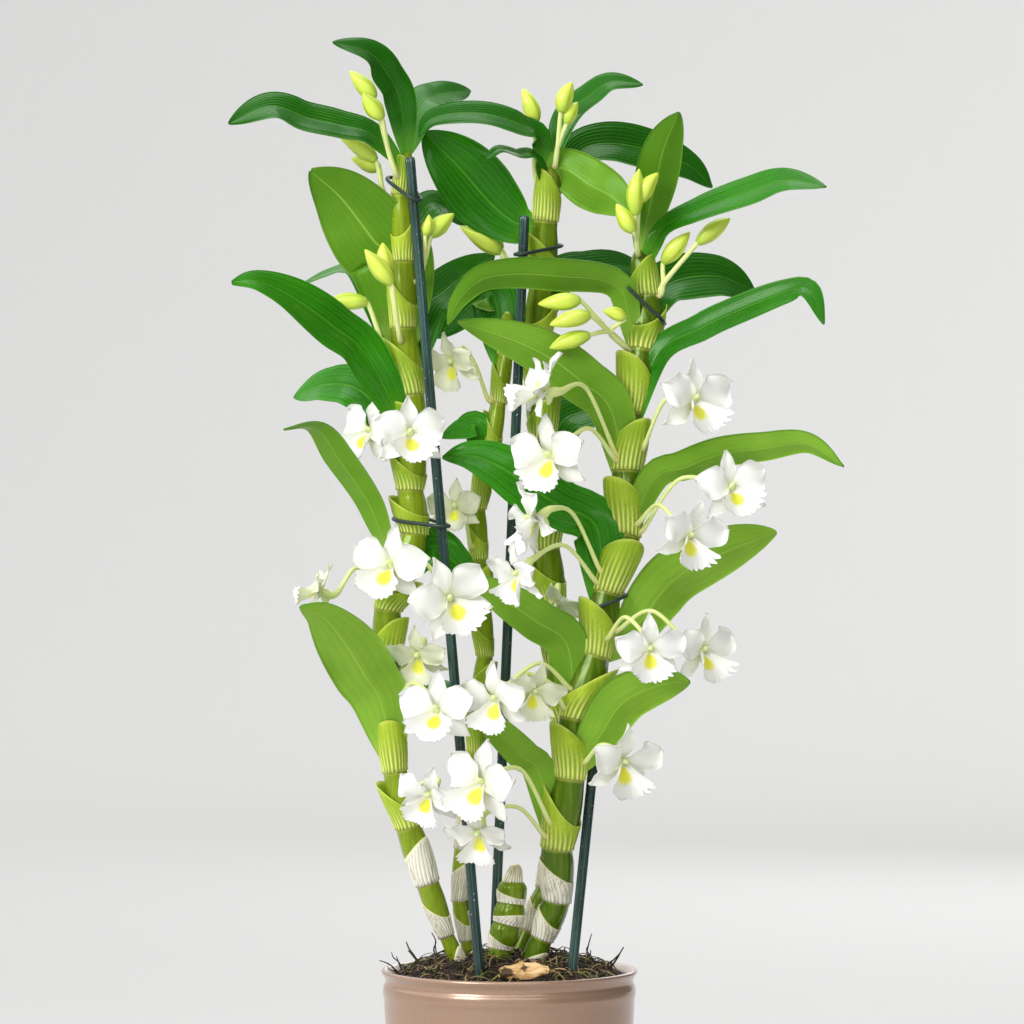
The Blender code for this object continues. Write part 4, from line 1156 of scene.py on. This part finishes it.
def build_mix(looks):
    """Bark and fibre mix: a rough bed with loose bark, fibres and slivers that stand out."""
    dice = random.Random(MIX_SEED)
    piece = Piece("growing_mix", "growing_mix", ["substrate"], looks)
    bed = turned([(MIX_RADIUS * (1 - i / MIX_RINGS), 0.0) for i in range(MIX_RINGS)], MIX_AROUND)
    points = turned([(MIX_RADIUS - 8.0, MIX_LOW)], MIX_AROUND)
    points += [(x, y, mix_height(x, y)) for x, y, _ in bed]
    faces = net(MIX_RINGS + 1, MIX_AROUND, True) + caps(MIX_RINGS + 1, MIX_AROUND)
    piece.add((points, faces, [(0.0, 0.0, dice.random()) for _ in points]))
    for _ in range(BARK_PIECES):
        x, y = scatter(MIX_RADIUS - 3.0, dice)
        piece.add(crumb((x, y, mix_height(x, y)), dice), 0 if dice.random() < 0.8 else 1)
    for _ in range(FIBRES):
        piece.add(fibre(*scatter(MIX_RADIUS - 4.0, dice), dice), dice.choice((0, 0, 0, 1, 1, 2)))
    for foot, tip, thick in TWIGS:
        foot = np.array(foot, float)
        tip = np.array(tip, float)
        radii = np.linspace(0.7 * thick, 0.28 * thick, TWIG_STEPS + 1)
        for share in (1.0, 0.8, 0.6):
            path = [foot]
            for t in (0.3, 0.6, 0.8, 1.0):
                jog = np.array([dice.uniform(*limits) for limits in ((-2.4, 2.4), (-2.4, 2.4), (-2.0, 1.0))])
                path.append(foot + (tip - foot) * t * share + jog * (1.0 - 0.4 * t))
            piece.add(tube(sample(path, TWIG_STEPS), radii, 6, dice.random()))
    piece.done()


def crumb(place, dice):
    """A splintered block of bark: eight jogged corners, longer than it is wide."""
    size = np.array([dice.uniform(2.0, 6.5), dice.uniform(1.0, 2.6), dice.uniform(0.6, 1.8)])
    yaw = dice.uniform(0, TURN)
    pitch = dice.uniform(-0.6, 0.6)
    ahead = np.array([math.cos(yaw) * math.cos(pitch), math.sin(yaw) * math.cos(pitch), math.sin(pitch)])
    across = unit(np.cross(UP, ahead))
    axes = np.array([ahead, across, np.cross(ahead, across)])
    points = []
    for c in (-1, 1):
        for a, b in ((-1, -1), (1, -1), (1, 1), (-1, 1)):
            jog = [dice.uniform(0.55, 1.1) for _ in range(3)]
            points.append(np.array(place) + 0.5 * (np.array([a, b, c]) * size * jog) @ axes)
    faces = [(0, 3, 2, 1), (4, 5, 6, 7), (0, 1, 5, 4), (1, 2, 6, 5), (2, 3, 7, 6), (3, 0, 4, 7)]
    tone = dice.random()
    return points, faces, [(0.0, 0.0, tone)] * 8


def fibre(x, y, dice):
    """A thin curved fibre that lies on the mix or arches out of it."""
    yaw = dice.uniform(0, TURN)
    reach = dice.uniform(6.0, 20.0)
    height = dice.uniform(0.3, 5.0)
    edge = MIX_RADIUS - 1.0
    path = []
    for t in (0.0, 0.35, 0.7, 1.0):
        away = reach * (t - 0.5)
        px = x + away * math.cos(yaw) + dice.uniform(-0.8, 0.8)
        py = y + away * math.sin(yaw) + dice.uniform(-0.8, 0.8)
        back = min(1.0, edge / math.hypot(px, py))
        px *= back
        py *= back
        path.append((px, py, mix_height(px, py) + 0.2 + height * math.sin(math.pi * t)))
    thick = dice.uniform(0.2, 0.55)
    radii = np.linspace(thick, 0.5 * thick, FIBRE_STEPS + 1)
    return tube(sample(path, FIBRE_STEPS), radii, 5, dice.random())


def build_chip(skin):
    """The pale bark chip that lies tilted at the front: a rough curved flake."""
    left, front, low = CHIP_END
    grid = []
    for t in np.linspace(0.0, 1.0, CHIP_ROWS):
        half = 5.2 * math.sin(math.pi * (0.14 + 0.74 * t))
        ragged = 1.0 + 0.22 * noise.noise(Vector((7.0 * t, 0.3, 0.7)))
        half *= 0.94 * ragged * (1.0 - 0.22 * math.exp(-((t - 0.3) / 0.09) ** 2))
        x = left + CHIP_LENGTH * t
        y = front + 1.5 * math.sin(5.0 * t)
        z = low + 1.6 * t
        row = []
        for s in np.linspace(-1.0, 1.0, CHIP_COLS):
            rough = 0.9 * noise.noise(Vector((8.0 * t, 2.6 * s, 2.0)))
            rough += 0.4 * noise.noise(Vector((22.0 * t, 7.0 * s, 5.0)))
            crown = 1.0 - s * s
            row.append((x + crown, y + 0.45 * half * s - 1.2 * crown + rough, z + 0.9 * half * s + rough))
        grid.append(row)
    Piece("bark_flake", "bark", ["bark_chip"], [skin]).add(blade(grid, CHIP_THICK, 0.5)).done()


def build_stakes(skin):
    """The ribbed stakes, narrowed at both ends."""
    shares = np.concatenate([[0.0, 0.01], np.linspace(0.02, 0.985, 60), [0.992, 0.997, 1.0]])
    radii = [0.75 * STAKE_RADIUS] + [0.94 * STAKE_RADIUS] * (len(shares) - 2) + [0.8 * STAKE_RADIUS]
    for name, (foot, top) in STAKES.items():
        path = [np.array(foot) * (1 - t) + np.array(top) * t for t in shares]
        rod = tube(path, radii, STAKE_RIDGES * 6, 0.5, flutes(STAKE_RIDGES, 0.09))
        Piece(name + "_rod", "stake_plastic", [name], [skin]).add(rod).done()


def stake_at(name, height):
    foot, top = np.array(STAKES[name], float)
    return foot + (top - foot) * (height - foot[2]) / (top[2] - foot[2])


def cane_at(name, height):
    """Centre and widest nearby radius of a cane at a height."""
    rows = np.array(CANES[name], float)
    x, y, radius = (np.interp(height, rows[:, 2], rows[:, k]) for k in (0, 1, 3))
    return np.array([x, y]), radius * 1.06


def tie_loop(stake, cane, height, rise_back, rise_right):
    """Points of the wire that goes round a stake and a cane."""
    post = stake_at(stake, height)[:2]
    stem, radius = cane_at(cane, height)
    circles = [(post, STAKE_RADIUS), (stem, radius)]
    middle = (post + stem) / 2
    reach = np.abs(post - stem) / 2 + radius
    ring = []
    for k in range(TIE_POINTS):
        angle = TURN * k / TIE_POINTS
        away = np.array([math.cos(angle), math.sin(angle)])
        centre, wide = max(circles, key=lambda circle: circle[0].dot(away) + circle[1])
        place = centre + away * (wide + WIRE_RADIUS + WIRE_GAP)
        share = (place - middle) / reach
        ring.append((*place, height + rise_right * share[0] + rise_back * share[1]))
    ring = spread(np.array(ring + ring[:1]), np.linspace(0.0, 1.0, TIE_POINTS, endpoint=False))
    for _ in range(2):
        ring = (np.roll(ring, 1, 0) + 2 * ring + np.roll(ring, -1, 0)) / 4
    return ring


def build_ties(skin):
    """Four closed wire loops, and the open one at the top of the right stake."""
    wires = {}
    for name, *form in TIES:
        ring = tie_loop(*form)
        pairs = []
        for before, after in zip(np.roll(ring, 1, 0), np.roll(ring, -1, 0)):
            ahead = unit(after - before)
            across = unit(UP - ahead * ahead[2])
            pairs.append((across, np.cross(ahead, across)))
        wires[name] = tube(ring, [WIRE_RADIUS] * TIE_POINTS, WIRE_SIDES, pairs=pairs, loop=True)
    wires["tie_5"] = tube(sample(OPEN_TIE, 60), [0.5] + [WIRE_RADIUS] * 59 + [0.5], WIRE_SIDES)
    for name, wire in wires.items():
        Piece(name + "_wire", "tie_plastic", [name], [skin]).add(wire).done()


def build_floor():
    """A pale floor that curves up into a round wall a long way off. Its colour is painted paler further out
    to make up for the lamps' falloff, and greyer far to the right as painted shade.
    """
    profile = [(0.01, -0.0005), (FLOOR_FLAT, -0.0005)]
    for angle in np.linspace(0.0, math.pi / 2, 13)[1:]:
        profile.append((FLOOR_FLAT + FLOOR_BEND * math.sin(angle), FLOOR_BEND * (1 - math.cos(angle))))
    profile.append((FLOOR_FLAT + FLOOR_BEND, FLOOR_TOP))
    mesh = bpy.data.meshes.new("studio_floor")
    mesh.from_pydata(turned(profile, FLOOR_AROUND), [], net(len(profile), FLOOR_AROUND, True))
    mesh.shade_smooth()
    look = Look("studio_paper", Roughness=0.9)
    place = look.place()
    away = look.node("VectorMath", {0: place}, "Value", operation="LENGTH")
    # Paler further out: painted light that evens out the lamps' falloff with distance
    pale = look.mix(away.span(0.8, 3.6), (0.6, 0.6, 0.6), (0.9, 0.9, 0.9))
    # Dark grey far to the right: painted shade, a dark sheet that keeps light off the right side of the
    # plant and pot
    look.ground(look.parts(place)[0].span(1.3, 2.6), pale, (0.12, 0.12, 0.12))
    mesh.materials.append(look.material)
    floor = bpy.data.objects.new("studio_floor", mesh)
    bpy.context.scene.collection.objects.link(floor)


def build_air():
    """Soft light from all sides, stronger from the left."""
    world = bpy.data.worlds.new("studio_air")
    world.use_nodes = True
    tree = world.node_tree
    air = tree.nodes["Background"]
    air.inputs["Color"].default_value = (1.0, 0.995, 0.985, 1.0)
    sight = tree.nodes.new("ShaderNodeTexCoord")
    parts = tree.nodes.new("ShaderNodeSeparateXYZ")
    dim = tree.nodes.new("ShaderNodeMapRange")
    tree.links.new(sight.outputs["Generated"], parts.inputs[0])
    tree.links.new(parts.outputs[0], dim.inputs["Value"])
    for key, number in (("From Min", -0.7), ("From Max", 0.8), ("To Min", 1.3), ("To Max", 0.22)):
        dim.inputs[key].default_value = number
    tree.links.new(dim.outputs[0], air.inputs["Strength"])
    bpy.context.scene.world = world
    bpy.context.scene.view_settings.view_transform = "Standard"


def build_lights():
    for name, place, size, power in LIGHTS:
        data = bpy.data.lights.new(name, "AREA")
        data.shape = "RECTANGLE"
        data.size, data.size_y = size
        data.energy = power
        lamp = bpy.data.objects.new(name, data)
        lamp.location = place
        lamp.rotation_euler = (Vector(LIGHT_AIM) - Vector(place)).to_track_quat("-Z", "Y").to_euler()
        bpy.context.scene.collection.objects.link(lamp)


def build_camera():
    data = bpy.data.cameras.new("camera")
    data.lens = CAMERA_LENS
    data.sensor_width = 36.0
    camera = bpy.data.objects.new("camera", data)
    camera.location = CAMERA_PLACE
    camera.rotation_euler = (math.radians(90.0), 0.0, 0.0)
    bpy.context.scene.collection.objects.link(camera)
    bpy.context.scene.camera = camera


def main():
    build_floor()
    build_air()
    build_lights()
    build_camera()
    build_pot([
        lacquer_look("copper_lacquer", (0.33, 0.2, 0.135), (0.42, 0.27, 0.185), 0.35, 0.24),
        # Paler copy of the lacquer from the rim's crest inwards: painted reflection of the bright room in
        # the metal
        lacquer_look("rim_lacquer_painted_reflection", (0.72, 0.62, 0.58), (0.82, 0.74, 0.7), 0.3, 0.4),
    ])
    build_mix([
        crumb_look("bark_dark", (0.002, 0.001, 0.001), (0.05, 0.024, 0.011), 380.0, 0.7),
        crumb_look("fibre_tan", (0.02, 0.009, 0.004), (0.5, 0.34, 0.16), 420.0, 0.6),
        crumb_look("moss_green", (0.04, 0.05, 0.008), (0.24, 0.26, 0.05), 420.0, 0.75),
    ])
    build_chip(chip_look())
    build_stakes(stake_look())
    build_ties(tie_look())
    build_canes([
        stem_look(),
        sheath_look("sheath_green", (0.46, 0.6, 0.04), (0.17, 0.32, 0.01), (0.86, 0.87, 0.28),
                    (0.56, 0.64, 0.12), 0.85, 0.2, 0.34),
        sheath_look("sheath_dry", (0.84, 0.81, 0.62), (0.3, 0.24, 0.1), (0.93, 0.92, 0.8),
                    (0.86, 0.8, 0.46), 2.5, 0.55, 0.42),
        leaf_look("leaf_top", (0.008, 0.11, 0.002), (0.05, 0.35, 0.006), (0.16, 0.5, 0.03), 0.2, 1.0, 0.28),
        leaf_look("leaf_under", (0.08, 0.22, 0.01), (0.28, 0.5, 0.05), (0.46, 0.68, 0.12), 0.34, 0.3, 0.1),
    ])
    stalk = stalk_look("stalk_skin", (0.78, 0.85, 0.34), (0.74, 0.52, 0.26))
    cap = stalk_look("cap_skin", (0.72, 0.8, 0.4), (0.5, 0.62, 0.2))
    build_flowers([petal_look(), lip_look(), stalk, cap])
    build_buds([bud_look(), stalk])


main()
